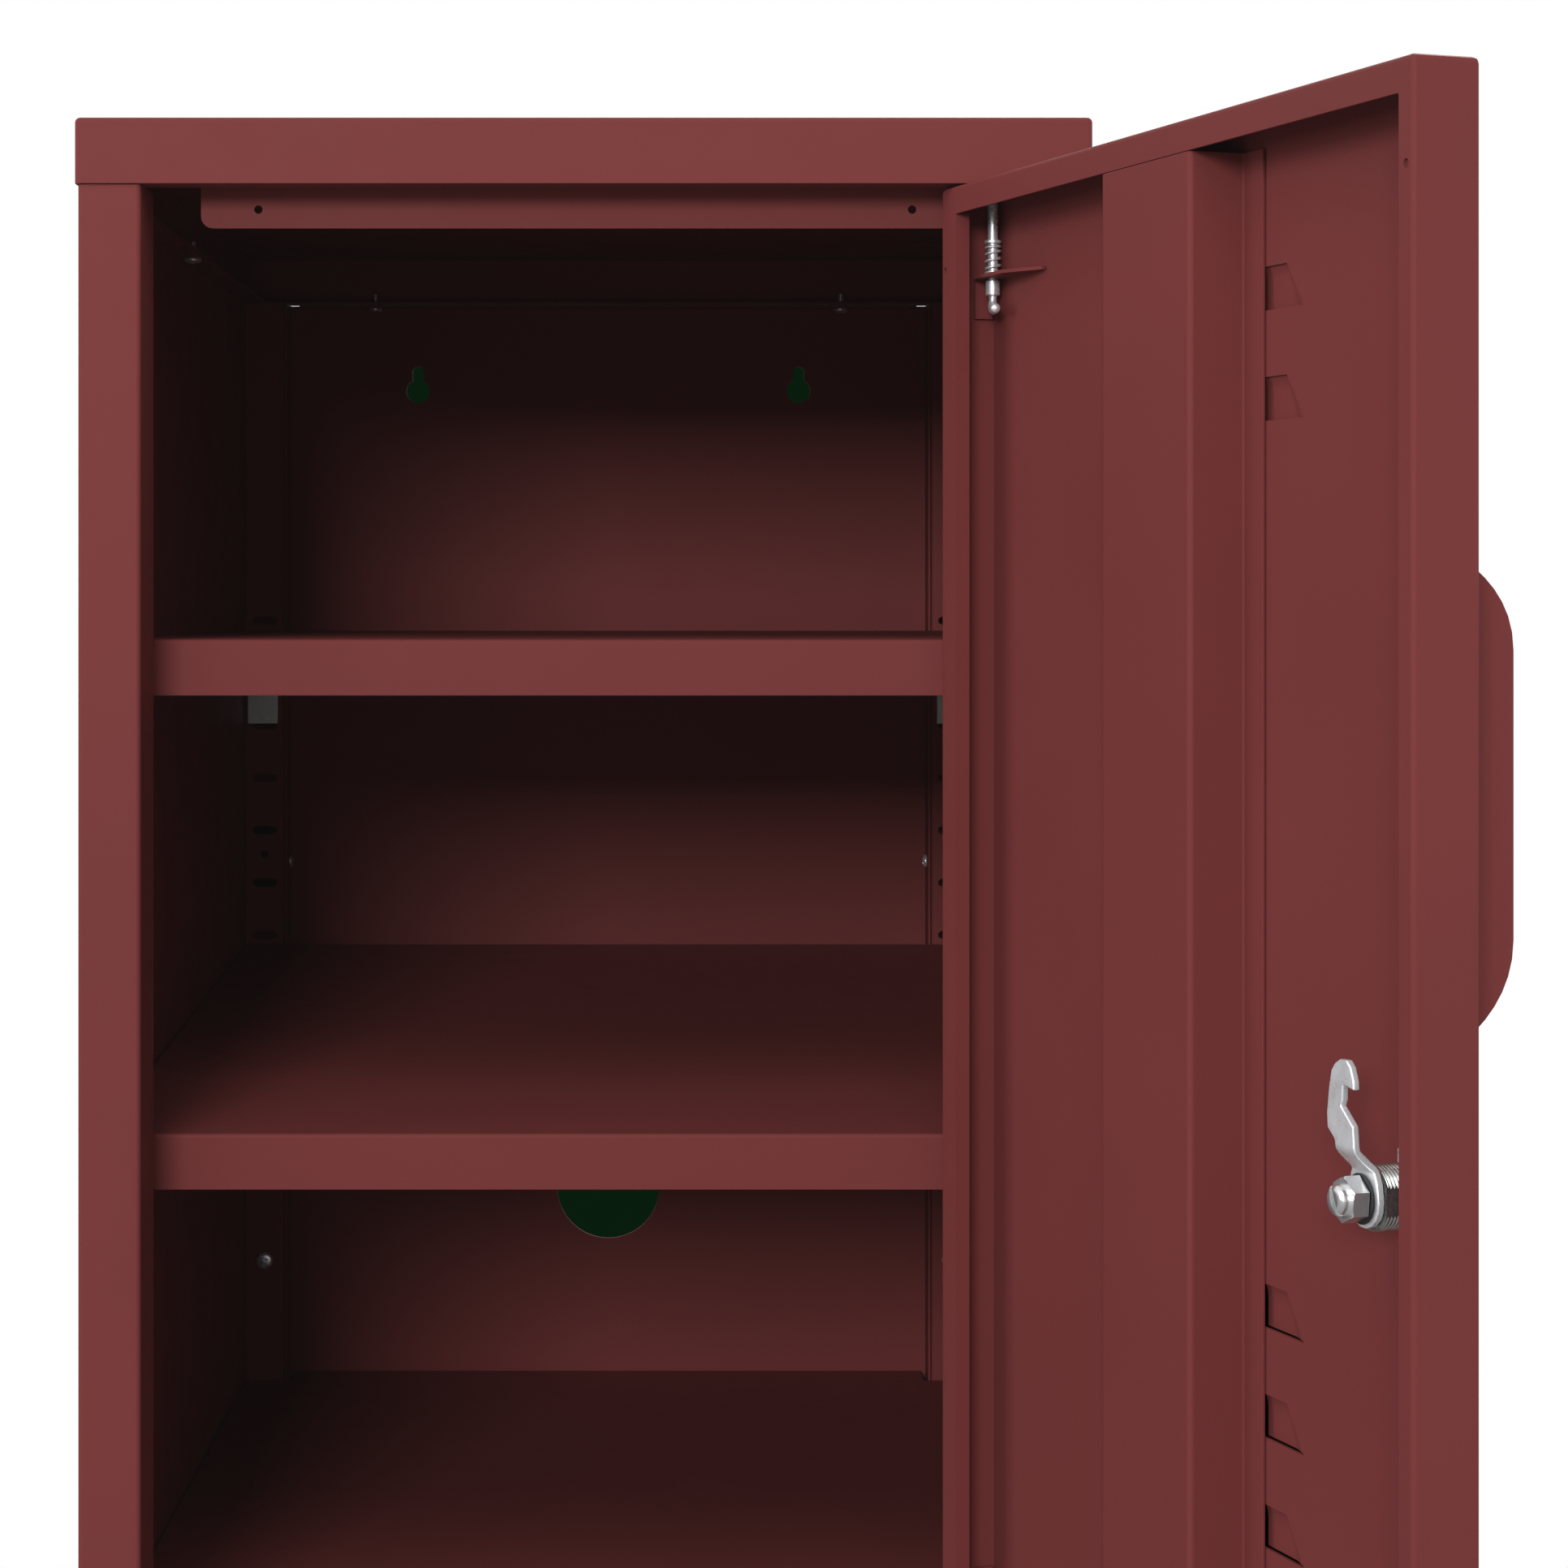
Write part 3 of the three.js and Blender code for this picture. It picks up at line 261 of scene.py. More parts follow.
def paint_material(name, edge_wear_and_highlight=False, door=False):
    """Satin powder coat: fine orange peel and a slight colour drift.

    Edge wear and highlight is the lighter coat on the sheet edges: spots of wear, which are also a
    painted edge highlight. Door adds painted shade: near-black in the louvres' slits and in their
    hollows behind the stiffener.
    """
    shader = Shader(name)
    vector = shader.coords()
    drift = shader.noise(vector, 5.0, detail=3.0, rough=0.55)
    fine = shader.noise(vector, 60.0)
    drift_mask = shader.remap(drift, 0.35, 0.65)
    colour = shader.mix(drift_mask, shade(BURGUNDY, 0.96), shade(BURGUNDY, 1.04))
    speck = shader.remap(shader.noise(vector, 1500.0, detail=1.0), 0.66, 0.74)
    colour = shader.mix(shader.calc("MULTIPLY", speck, 0.08), colour, shade(BURGUNDY, 1.7))
    # lighter spots on the sheet edges: wear, and painted edge highlight
    if edge_wear_and_highlight:
        rub_and_highlight_mask = shader.remap(shader.noise(vector, 34.0, detail=4.0, rough=0.6), 0.55, 0.72)
        rubbed_and_highlit = shade(BURGUNDY, 1.4, lift=0.006)
        colour = shader.mix(shader.calc("MULTIPLY", rub_and_highlight_mask, 0.22), colour, rubbed_and_highlit)
    # painted glow: a faint emission over the whole paint
    shader.principled(Emission_Strength=PAINTED_GLOW)
    if door:
        # painted shade in the louvres' slits and hollows: near-black colour, and no painted glow
        # there
        gap = louvre_painted_shade(shader)
        colour = shader.mix(gap, colour, LOUVRE_SHADE_COLOUR)
        outside_painted_shade = shader.calc("SUBTRACT", 1.0, gap)
        shader.principled(Emission_Strength=shader.calc("MULTIPLY", outside_painted_shade, PAINTED_GLOW))
    roughness = shader.calc(
        "ADD",
        shader.remap(drift, 0.3, 0.7, 0.47, 0.55),
        shader.remap(fine, 0.3, 0.7, -0.02, 0.03),
    )
    peel = shader.bump(shader.noise(vector, 420.0, rough=0.45), distance=0.00003)
    grain = shader.noise(vector, 2200.0, detail=1.0)
    shader.principled(
        Base_Color=colour,
        Roughness=roughness,
        IOR=1.46,
        Specular_IOR_Level=PAINT_SPECULAR,
        # colour of the painted glow
        Emission_Color=(1.0, 0.95, 0.92),
        Normal=shader.bump(grain, distance=0.000006, normal=peel),
    )
    return shader.mat


SCRATCH_STRETCH = (140.0, 140.0, 2200.0)  # noise scale of the scratches along x, y and z


def metal_material(name, colour, rough, spread, metallic=1.0, spangle=0.0, scratch=0.5):
    """Plated steel: cloudy roughness, faint scratches, optional zinc spangle."""
    shader = Shader(name)
    vector = shader.coords()
    cloud = shader.noise(vector, 160.0, detail=4.0, rough=0.6)
    fine = shader.noise(vector, 900.0, detail=3.0, rough=0.6)
    tone = shader.mix(shader.remap(cloud, 0.3, 0.7), shade(colour, 0.84), colour)
    if spangle:
        cells = shader.node("ShaderNodeTexVoronoi")
        cells.inputs["Scale"].default_value = 700.0
        shader.link(vector, cells.inputs["Vector"])
        split = shader.node("ShaderNodeSeparateColor")
        shader.link(cells.outputs["Color"], split.inputs[0])
        amount = shader.calc("MULTIPLY", split.outputs[0], spangle)
        tone = shader.mix(amount, tone, shade(colour, 0.66))
    lines = shader.noise(shader.coords(SCRATCH_STRETCH), 1.0, detail=3.0, rough=0.7)
    roughness = shader.calc(
        "ADD",
        shader.remap(cloud, 0.3, 0.7, rough - spread, rough + spread),
        shader.remap(fine, 0.3, 0.7, -0.03, 0.05),
    )
    scratches = shader.bump(lines, distance=0.000004 * scratch + 0.000001)
    shader.principled(
        Base_Color=tone,
        Metallic=metallic,
        Roughness=roughness,
        Normal=shader.bump(cloud, distance=0.00004 * spread / 0.1, normal=scratches),
    )
    return shader.mat


def plastic_material(name, colour, rough):
    """Grained plastic with a cloudy tone."""
    shader = Shader(name)
    vector = shader.coords()
    grain = shader.noise(vector, 1400.0, rough=0.6)
    cloud = shader.noise(vector, 40.0, detail=3.0, rough=0.6)
    cloud_mask = shader.remap(cloud, 0.3, 0.7)
    shader.principled(
        Base_Color=shader.mix(cloud_mask, shade(colour, 0.8), shade(colour, 1.3)),
        Roughness=shader.remap(cloud, 0.3, 0.7, rough - 0.06, rough + 0.08),
        Normal=shader.bump(grain, distance=0.00003),
    )
    return shader.mat


MATS = {
    "burgundy_paint": paint_material("burgundy_paint"),
    "zinc_steel": metal_material(
        "zinc_steel", (0.87, 0.89, 0.92), rough=0.28, spread=0.05, metallic=0.62, spangle=0.12
    ),
    "clip_steel": metal_material(
        "clip_steel", (0.56, 0.57, 0.55), rough=0.45, spread=0.08, spangle=0.35
    ),
    "chrome": metal_material(
        "chrome", (0.86, 0.87, 0.88), rough=0.20, spread=0.035, metallic=0.80, scratch=0.25
    ),
    "black_plastic": plastic_material("black_plastic", (0.016, 0.016, 0.018), rough=0.48),
}
# the lighter coat of the bevelled edges: wear and painted edge highlight
EDGE_WEAR_AND_HIGHLIGHT_PAINT = paint_material("burgundy_paint_edge", edge_wear_and_highlight=True)


# ------------------------------------------------------------------ shading and edge rounding
def smooth_group(angle_deg):
    """A geometry-nodes group that shades smooth, but keeps edges sharper than the angle crisp."""
    group = bpy.data.node_groups.new("smooth_by_angle_%g" % angle_deg, "GeometryNodeTree")
    for direction in ("INPUT", "OUTPUT"):
        group.interface.new_socket(
            "Geometry", in_out=direction, socket_type="NodeSocketGeometry"
        )
    source, result = group.nodes.new("NodeGroupInput"), group.nodes.new("NodeGroupOutput")
    angle = group.nodes.new("GeometryNodeInputMeshEdgeAngle")
    soft = group.nodes.new("FunctionNodeCompare")
    soft.data_type = "FLOAT"
    soft.operation = "LESS_EQUAL"
    soft.inputs[1].default_value = math.radians(angle_deg)
    edges = group.nodes.new("GeometryNodeSetShadeSmooth")
    edges.domain = "EDGE"
    faces = group.nodes.new("GeometryNodeSetShadeSmooth")
    faces.domain = "FACE"
    faces.inputs["Shade Smooth"].default_value = True
    link = group.links.new
    link(source.outputs[0], faces.inputs["Geometry"])
    link(angle.outputs["Unsigned Angle"], soft.inputs[0])
    link(faces.outputs[0], edges.inputs["Geometry"])
    link(soft.outputs[0], edges.inputs["Shade Smooth"])
    link(edges.outputs[0], result.inputs[0])
    return group


SMOOTH = smooth_group(42)


def smooth(obj):
    """Smooth shading that follows the large faces, so flat sheet stays flat up to its bends."""
    obj.modifiers.new("smooth", "NODES").node_group = SMOOTH
    weighted = obj.modifiers.new("weighted", "WEIGHTED_NORMAL")
    weighted.mode = "FACE_AREA"
    weighted.weight = 100
    weighted.keep_sharp = True


def bevel(obj, width, segments=2):
    """Rounds the sharp edges. A painted piece gets the lighter edge coat there, as second material:
    spots of wear that are also a painted edge highlight.
    """
    modifier = obj.modifiers.new("bevel", "BEVEL")
    mats = obj.data.materials
    if len(mats) == 1 and mats[0] == MATS["burgundy_paint"]:
        mats.append(EDGE_WEAR_AND_HIGHLIGHT_PAINT)
        modifier.material = 1
    modifier.width = width
    modifier.segments = segments
    modifier.limit_method = "ANGLE"
    modifier.angle_limit = math.radians(40)
    modifier.use_clamp_overlap = True
    modifier.miter_outer = "MITER_ARC"


def polish(obj, width, segments):
    """Merges split vertices, dissolves flat triangles, rounds sharp edges and shades smooth."""
    obj.modifiers.new("weld", "WELD").merge_threshold = 1e-6
    planar = obj.modifiers.new("planar", "DECIMATE")
    planar.decimate_type = "DISSOLVE"
    planar.angle_limit = math.radians(0.4)
    bevel(obj, width, segments)
    smooth(obj)


def finish_cad_pieces():
    satin = metal_material(
        "satin_nickel", (0.93, 0.95, 0.98), rough=0.30, spread=0.05, metallic=0.48, spangle=0.10
    )
    for name, obj in NODES.items():
        is_cam = name == "lock_cam"
        obj.data.materials.clear()
        obj.data.materials.append(satin if is_cam else MATS[SLOTS[name]])
        if is_cam:
            polish(obj, width=0.45 * MM, segments=3)
        else:
            polish(obj, width=0.28 * MM, segments=2)
    door_mats = NODES["door_panel"].data.materials
    door_mats[0] = paint_material("burgundy_paint_door", door=True)
    door_mats[1] = paint_material("burgundy_paint_door_edge", edge_wear_and_highlight=True, door=True)


finish_cad_pieces()


# ------------------------------------------------------------------ mesh tools (millimetres)
def make(node, shape, place, slot=None, bevel_mm=0.0, body=None, mat=None):
    """Puts a finished bmesh or mesh into the scene in place of a CAD node."""
    name = node + "_fine"
    mesh = shape
    if isinstance(shape, bmesh.types.BMesh):
        mesh = bpy.data.meshes.new(name)
        bmesh.ops.remove_doubles(shape, verts=shape.verts, dist=1e-5)
        fill_mesh(mesh, shape)
    mesh.transform(place)
    obj = bpy.data.objects.new(name, mesh)
    bpy.context.scene.collection.objects.link(obj)
    slot = slot or SLOTS[node]
    mesh.materials.clear()
    mesh.materials.append(mat or MATS[slot])
    if bevel_mm:
        bevel(obj, bevel_mm * MM)
    smooth(obj)
    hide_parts(node)
    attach(obj, body or BODY[node])
    return obj


def fill_mesh(mesh, bm):
    """Moves a bmesh into a mesh, with its normals outward."""
    bmesh.ops.recalc_face_normals(bm, faces=bm.faces)
    bm.to_mesh(mesh)
    bm.free()


def circle(radius, z, seg):
    angles = [2 * math.pi * i / seg for i in range(seg)]
    return [(radius * math.cos(a), radius * math.sin(a), z) for a in angles]


def ring_surface(rings):
    """Joins rings of equal length with quads and closes both ends."""
    bm = bmesh.new()
    rows = [[bm.verts.new(p) for p in ring] for ring in rings]
    n = len(rows[0])
    for a, b in zip(rows, rows[1:]):
        for i in range(n):
            j = (i + 1) % n
            bm.faces.new((a[i], a[j], b[j], b[i]))
    bm.faces.new(list(reversed(rows[0])))
    bm.faces.new(rows[-1])
    return bm


def lathe(profile, seg):
    """Turned about +Z: (radius, height) pairs. A radius of 0 is a pole."""
    bm = bmesh.new()
    rows = []
    for r, z in profile:
        points = [(0, 0, z)] if r < 1e-6 else circle(r, z, seg)
        rows.append([bm.verts.new(p) for p in points])
    for a, b in zip(rows, rows[1:]):
        for i in range(seg):
            j = (i + 1) % seg
            if len(a) == 1:
                bm.faces.new((a[0], b[j], b[i]))
            elif len(b) == 1:
                bm.faces.new((a[i], a[j], b[0]))
            else:
                bm.faces.new((a[i], a[j], b[j], b[i]))
    return bm


def prism(outline, z0, z1):
    """A closed outline of (x, y) points from z0 to z1."""
    return ring_surface([[(x, y, z) for x, y in outline] for z in (z0, z1)])


def slab(x0, x1, y0, y1, z0, z1):
    return prism([(x0, y0), (x1, y0), (x1, y1), (x0, y1)], z0, z1)


def thread(r, z0, z1, pitch, depth, seg):
    """A threaded rod about +Z, closed at both ends. The ridge fades out towards them."""
    rings_per_turn = 6
    steps = max(2, int((z1 - z0) / pitch * rings_per_turn))
    rings = []
    for k in range(steps + 1):
        z = z0 + (z1 - z0) * k / steps
        fade = min(1.0, min(k, steps - k) / 3.0)
        end_inset = 0.35 * depth if k in (0, steps) else 0
        ring = []
        for i in range(seg):
            a = 2 * math.pi * i / seg
            phase = ((z - z0) / pitch - a / (2 * math.pi)) % 1.0
            groove = abs(2 * phase - 1)
            radius = r - depth * groove * fade - end_inset
            ring.append((radius * math.cos(a), radius * math.sin(a), z))
        rings.append(ring)
    return ring_surface(rings)


def sweep(points, radii, seg):
    """A round section along a path, with a radius for each point."""
    points = [Vector(p) for p in points]
    last = len(points) - 1
    side = Vector((1, 0, 0))
    rings = []
    for i, (point, radius) in enumerate(zip(points, radii)):
        along = (points[min(last, i + 1)] - points[max(0, i - 1)]).normalized()
        side = (side - along * side.dot(along)).normalized()
        other = along.cross(side)
        rings.append([point + side * x + other * y for x, y, z in circle(radius, 0, seg)])
    return ring_surface(rings)


def frame_of(direction):
    """A rotation that takes +Z to the direction."""
    turn = Vector((0, 0, 1)).rotation_difference(Vector(direction).normalized())
    return turn.to_matrix().to_4x4()


def to_object(bm, name="tool"):
    mesh = bpy.data.meshes.new(name)
    fill_mesh(mesh, bm)
    obj = bpy.data.objects.new(name, mesh)
    bpy.context.scene.collection.objects.link(obj)
    return obj


def carve(base, *cuts, name="carved"):
    """Exact booleans of a bmesh, in order: (operation, tool) pairs. Returns a new mesh."""
    obj = to_object(base, name)
    used = [obj]
    for operation, tool in cuts:
        cutter = to_object(tool)
        modifier = obj.modifiers.new("cut", "BOOLEAN")
        modifier.operation = operation
        modifier.solver = "EXACT"
        modifier.object = cutter
        used.append(cutter)
    depsgraph = bpy.context.evaluated_depsgraph_get()
    result = bpy.data.meshes.new_from_object(obj.evaluated_get(depsgraph))
    for item in used:
        mesh = item.data
        bpy.data.objects.remove(item)
        bpy.data.meshes.remove(mesh)
    return result


def join_shapes(*shapes):
    """Joins meshes and bmeshes into one bmesh."""
    joined = bmesh.new()
    for shape in shapes:
        mesh = shape
        if isinstance(shape, bmesh.types.BMesh):
            mesh = bpy.data.meshes.new("tmp")
            fill_mesh(mesh, shape)
        joined.from_mesh(mesh)
    return joined


# ------------------------------------------------------------------ cross-recess screws
# Head radius, head height, shank radius, shank length.
COVER_SCREW = (3.6, 2.1, 1.7, 7.0)
BASE_SCREW = (3.6, 2.1, 1.7, 6.0)
BACK_SCREW = (3.0, 1.8, 1.7, 7.0)
POST_SCREW = (4.2, 2.6, 1.7, 9.0)
HANDLE_SCREW = (3.6, 2.1, 1.6, 2.2)


def recess_wedge(head_r, head_h, angle):
    """One bar of the cross recess, tapering into the head."""
    half_w, half_l = head_r * 0.13, head_r * 0.60
    corners = ((-1, -1), (1, -1), (1, 1), (-1, 1))
    low, high = head_h * 0.25, head_h + 0.6
    bm = ring_surface([
        [(x * half_l * 0.35, y * half_w * 0.6, low) for x, y in corners],
        [(x * half_l, y * half_w * 1.15, high) for x, y in corners],
    ])
    if angle:
        turn = Matrix.Rotation(angle, 3, "Z")
        bmesh.ops.rotate(bm, verts=bm.verts, cent=(0, 0, 0), matrix=turn)
    return bm


@lru_cache(maxsize=None)
def screw_master(head_r, head_h, shank_r, length):
    """A pan-head screw along +Z, with the underside of its head at z = 0."""
    profile = [
        (0, -length), (shank_r * 0.55, -length), (shank_r * 0.8, -length + 0.5),
        (shank_r * 0.8, -0.25), (shank_r, 0),
        (head_r * 0.94, 0), (head_r, head_h * 0.12), (head_r, head_h * 0.42),
    ]
    steps = 8
    for i in range(1, steps):
        a = i / steps * math.pi / 2
        r = head_r * (0.42 + 0.58 * math.cos(a))
        profile.append((r, head_h * (0.42 + 0.55 * math.sin(a))))
    profile += [(head_r * 0.36, head_h * 0.985), (0, head_h)]
    bars = [("DIFFERENCE", recess_wedge(head_r, head_h, a)) for a in (0, math.pi / 2)]
    return carve(lathe(profile, 40), *bars)


def place_screw(node, direction, size, turn, place=TO_FRAME):
    """Puts a screw where its CAD node is, with the head's top at the node's end."""
    master = screw_master(*size)
    head_h = size[1]
    lo, hi = local_box(node, place)
    seat = (lo + hi) / 2
    k = max(range(3), key=lambda i: abs(direction[i]))
    seat[k] = hi[k] - head_h if direction[k] > 0 else lo[k] + head_h
    pose = Matrix.Translation(seat) @ frame_of(direction) @ Matrix.Rotation(turn, 4, "Z")
    make(node, master.copy(), place @ pose)


DOWN = (0, 0, -1)
FORWARD = (0, -1, 0)
BACKWARD = (0, 1, 0)
for i, (side, inward) in enumerate((("left", (1, 0, 0)), ("right", (-1, 0, 0)))):
    place_screw(f"cover_screw_{side}", DOWN, COVER_SCREW, turn=0.4 + i)
    place_screw(f"cover_screw_back_{side}", DOWN, COVER_SCREW, turn=0.9 + i)
    place_screw(f"base_screw_{side}", DOWN, BASE_SCREW, turn=0.2 + i)
    place_screw(f"back_screw_{side}", inward, BACK_SCREW, turn=0.7 + i)
    place_screw(f"post_screw_{side}", FORWARD, POST_SCREW, turn=0.5 + i)
for end, turn in (("upper", 0.3), ("lower", 1.1)):
    place_screw(f"handle_screw_{end}", BACKWARD, HANDLE_SCREW, turn, place=DOOR)


# ------------------------------------------------------------------ hexagon bolts of the legs
BOLT_HEAD_R = 5.6
BOLT_HEAD_H = 4.1
BOLT_SHANK_R = 2.9


def chamfered_hex(r, z0, z1, turn):
    """A hexagon whose corners are cut by a shallow cone at the top."""
    angles = [math.pi / 3 * i + turn for i in range(6)]
    outline = [(r * math.cos(a), r * math.sin(a)) for a in angles]
    cone = lathe(
        [(0, z0 - 1), (r * 1.4, z0 - 1), (r * 1.4, z1 - r * 0.22), (r * 0.89, z1),
         (r * 0.80, z1 + 1), (0, z1 + 1)],
        64,
    )
    return carve(prism(outline, z0, z1), ("INTERSECT", cone))


def build_leg_bolt(node):
    """The chamfered side of the head looks down, and the shank goes up."""
    lo, hi = local_box(node)
    middle = (lo + hi) / 2
    head = chamfered_hex(BOLT_HEAD_R, 0.0, BOLT_HEAD_H, turn=0.5)
    head.transform(Matrix.Translation((0, 0, BOLT_HEAD_H)) @ Matrix.Rotation(math.pi, 4, "X"))
    shank = thread(
        BOLT_SHANK_R, BOLT_HEAD_H - 0.2, hi.z - lo.z, pitch=1.0, depth=0.35, seg=32
    )
    place = TO_FRAME @ Matrix.Translation((middle.x, middle.y, lo.z))
    make(node, join_shapes(head, shank), place)


for side in ("left", "right"):
    for end in ("front", "rear"):
        build_leg_bolt(f"leg_bolt_{end}_{side}")


# ------------------------------------------------------------------ hinge pins
PIN_R = 1.75
NECK_R = 1.35
COLLAR_R = 2.9
COLLAR_RIM_R = 2.55
SHOULDER_R = 2.5
SHOULDER_RIM_R = 2.2
# Top and bottom z of the upper pin's collar and of its stop shoulder.
COLLAR_TOP, COLLAR_LOW = 683.3, 682.1
SHOULDER_TOP, SHOULDER_LOW = 669.4, 664.2
BEND_R = 3.4
PULL_X, PULL_Y = -0.944, 0.33  # direction of the bent pull end, with the door closed
PULL_LENGTH = 10.5
# Chamfered tip: distance from the end, radius.
PIN_TIP = [(0, 0.9), (0.35, 1.25), (1.0, 1.62), (1.5, PIN_R)]
# Bent end: distance before the end, radius.
PULL_TIP = [
    (2.2, PIN_R), (1.2, PIN_R * 0.97), (0.6, PIN_R * 0.8), (0.2, PIN_R * 0.5), (0, PIN_R * 0.18),
]


def build_upper_pin():
    """Chamfered tip, spring collar, stop shoulder, neck and a bent pull end, from the top down."""
    lo, hi = local_box("upper_hinge_pin", DOOR)
    pull_z = lo.z + PIN_R
    straight = [(hi.z - depth, r) for depth, r in PIN_TIP] + [
        (hi.z - 12, PIN_R),
        (COLLAR_TOP + 0.05, PIN_R), (COLLAR_TOP, COLLAR_RIM_R), (COLLAR_TOP - 0.2, COLLAR_R),
        (COLLAR_LOW + 0.2, COLLAR_R), (COLLAR_LOW, COLLAR_RIM_R), (COLLAR_LOW - 0.05, PIN_R),
        (SHOULDER_TOP + 6, PIN_R), (SHOULDER_TOP + 0.05, PIN_R),
        (SHOULDER_TOP, SHOULDER_RIM_R), (SHOULDER_TOP - 0.25, SHOULDER_R),
        (SHOULDER_LOW + 0.25, SHOULDER_R), (SHOULDER_LOW, SHOULDER_RIM_R),
        (SHOULDER_LOW - 0.1, 1.45), (SHOULDER_LOW - 0.5, NECK_R),
    ]
    # distance out from the hinge axis, z, radius
    stations = [(0, z, r) for z, r in straight]
    for k in range(13):
        a = k / 12 * math.pi / 2
        r = NECK_R + (PIN_R - NECK_R) * min(1, k / 5)
        z = pull_z + BEND_R - BEND_R * math.sin(a)
        stations.append((BEND_R * (1 - math.cos(a)), z, r))
    stations += [(PULL_LENGTH - before, pull_z, r) for before, r in PULL_TIP]
    path = [
        (HINGE_AXIS.x + PULL_X * out, HINGE_AXIS.y + PULL_Y * out, z) for out, z, r in stations
    ]
    make("upper_hinge_pin", sweep(path, [r for out, z, r in stations], 28), DOOR)


def build_lower_pin():
    """A straight pin with a collar below and above the bracket's plate, from the bottom up."""
    lo, hi = local_box("lower_hinge_pin", DOOR)
    plate_z = local_box("lower_hinge_bracket", DOOR)[0].z + 0.6
    # distance from plate_z, radius
    collar = [
        (0.7, PIN_R), (0.75, 2.6), (0.95, COLLAR_R),
        (2.0, COLLAR_R), (2.2, COLLAR_RIM_R), (2.25, PIN_R),
    ]
    stations = [(lo.z + height, r) for height, r in PIN_TIP]
    stations += [(plate_z - gap, r) for gap, r in reversed(collar)]
    stations += [(plate_z + gap, r) for gap, r in collar]
    stations += [(hi.z - 0.8, PIN_R), (hi.z - 0.25, 1.5), (hi.z, 1.1)]
    path = [(HINGE_AXIS.x, HINGE_AXIS.y, z) for z, r in stations]
    make("lower_hinge_pin", sweep(path, [r for z, r in stations], 28), DOOR)


build_upper_pin()
build_lower_pin()


# ------------------------------------------------------------------ return spring
WIRE_R = 0.46
COIL_R = 2.42
COIL_TURNS = 5.0
CLOSED_TURNS = 0.9  # at each end
CLOSED_PITCH = 2 * WIRE_R * 1.02
COIL_STEPS = 5 * 30


def build_spring():
    """Closed end coils and open active coils; the spring is squashed as the pin is pulled."""
    lo, hi = local_box("upper_hinge_spring", DOOR)
    length = hi.z - lo.z
    rise = length - 2 * WIRE_R
    end_rise = CLOSED_TURNS * CLOSED_PITCH
    points = []
    for i in range(COIL_STEPS + 1):
        t = i / COIL_STEPS * COIL_TURNS
        if t < CLOSED_TURNS:
            z = t * CLOSED_PITCH
        elif t > COIL_TURNS - CLOSED_TURNS:
            z = rise - (COIL_TURNS - t) * CLOSED_PITCH
        else:
            share = (t - CLOSED_TURNS) / (COIL_TURNS - 2 * CLOSED_TURNS)
            z = end_rise + share * (rise - 2 * end_rise)
        a = 2 * math.pi * t
        x = HINGE_AXIS.x + COIL_R * math.cos(a)
        y = HINGE_AXIS.y + COIL_R * math.sin(a)
        points.append((x, y, lo.z + WIRE_R + z))
    radii = [WIRE_R * 0.6] + [WIRE_R] * (COIL_STEPS - 1) + [WIRE_R * 0.6]
    spring = make(
        "upper_hinge_spring", sweep(points, radii, 12), DOOR, slot="zinc_steel", body="door"
    )
    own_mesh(spring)


build_spring()


# ------------------------------------------------------------------ cam lock
# The lock's pieces are drawn along +Z, which becomes the closed door's +Y.
barrel_lo, barrel_hi = local_box("lock_barrel", DOOR)
LOCK = (
    DOOR
    @ Matrix.Translation(((barrel_lo.x + barrel_hi.x) / 2, 0, (barrel_lo.z + barrel_hi.z) / 2))
    @ frame_of(BACKWARD)
)
BARREL_R = 9.0
BORE_R = 6.3
FLAT_X = 7.9
GROOVE_X = 7.6
GROOVE_Z = (1.1, 2.7)
PLUG_R = 5.95
PLUG_END_R = 2.9
# Keyway outline: x, y.
KEYWAY = [
    (-0.62, -3.6), (0.62, -3.6), (0.62, -1.5), (0.15, -1.1), (0.15, 0.2), (0.62, 0.6),
    (0.62, 3.6), (-0.62, 3.6), (-0.62, 1.6), (-0.2, 1.2), (-0.2, -0.3), (-0.62, -0.7),
]
CAM_HEX_R = 6.5
CAM_HEX_BACK = 26.4
CAM_BOSS_R = 4.3
CAM_END = 29.2
SLOT_HALF_W = 0.65
SLOT_DEPTH = 1.5


def build_lock_barrel():
    """A threaded barrel with two flats, a groove across each flat and a round flange in front."""
    face, back = barrel_lo.y, barrel_hi.y
    flange = (barrel_hi.x - barrel_lo.x) / 2
    root = BARREL_R - 0.5
    rosette = lathe(
        [(0, face + 0.3), (BORE_R + 0.2, face + 0.3), (BORE_R + 0.5, face),
         (flange - 2.4, face), (flange - 1.2, face + 0.35), (flange - 0.35, face + 1.0),
         (flange, face + 1.7), (flange, -0.5), (flange - 0.3, -0.3),
         (root, -0.3), (root, 1.6), (0, 1.6)],
        72,
    )
    bore = lathe([(0, face - 2), (BORE_R, face - 2), (BORE_R, back + 2), (0, back + 2)], 64)
    mesh = carve(
        thread(BARREL_R, 1.2, back, pitch=1.05, depth=0.42, seg=60),
        ("INTERSECT", slab(-FLAT_X, FLAT_X, -12, 12, -5, 30)),
        ("UNION", rosette),
        ("DIFFERENCE", bore),
        ("DIFFERENCE", slab(-12, -GROOVE_X, -12, 12, *GROOVE_Z)),
        ("DIFFERENCE", slab(GROOVE_X, 12, -12, 12, *GROOVE_Z)),
        name="body",
    )
    nickel = metal_material(
        "barrel_nickel",
        (0.60, 0.62, 0.60),
        rough=0.27,
        spread=0.05,
        metallic=0.94,
        spangle=0.15,
        scratch=0.4,
    )
    make("lock_barrel", mesh, LOCK, bevel_mm=0.12, mat=nickel)


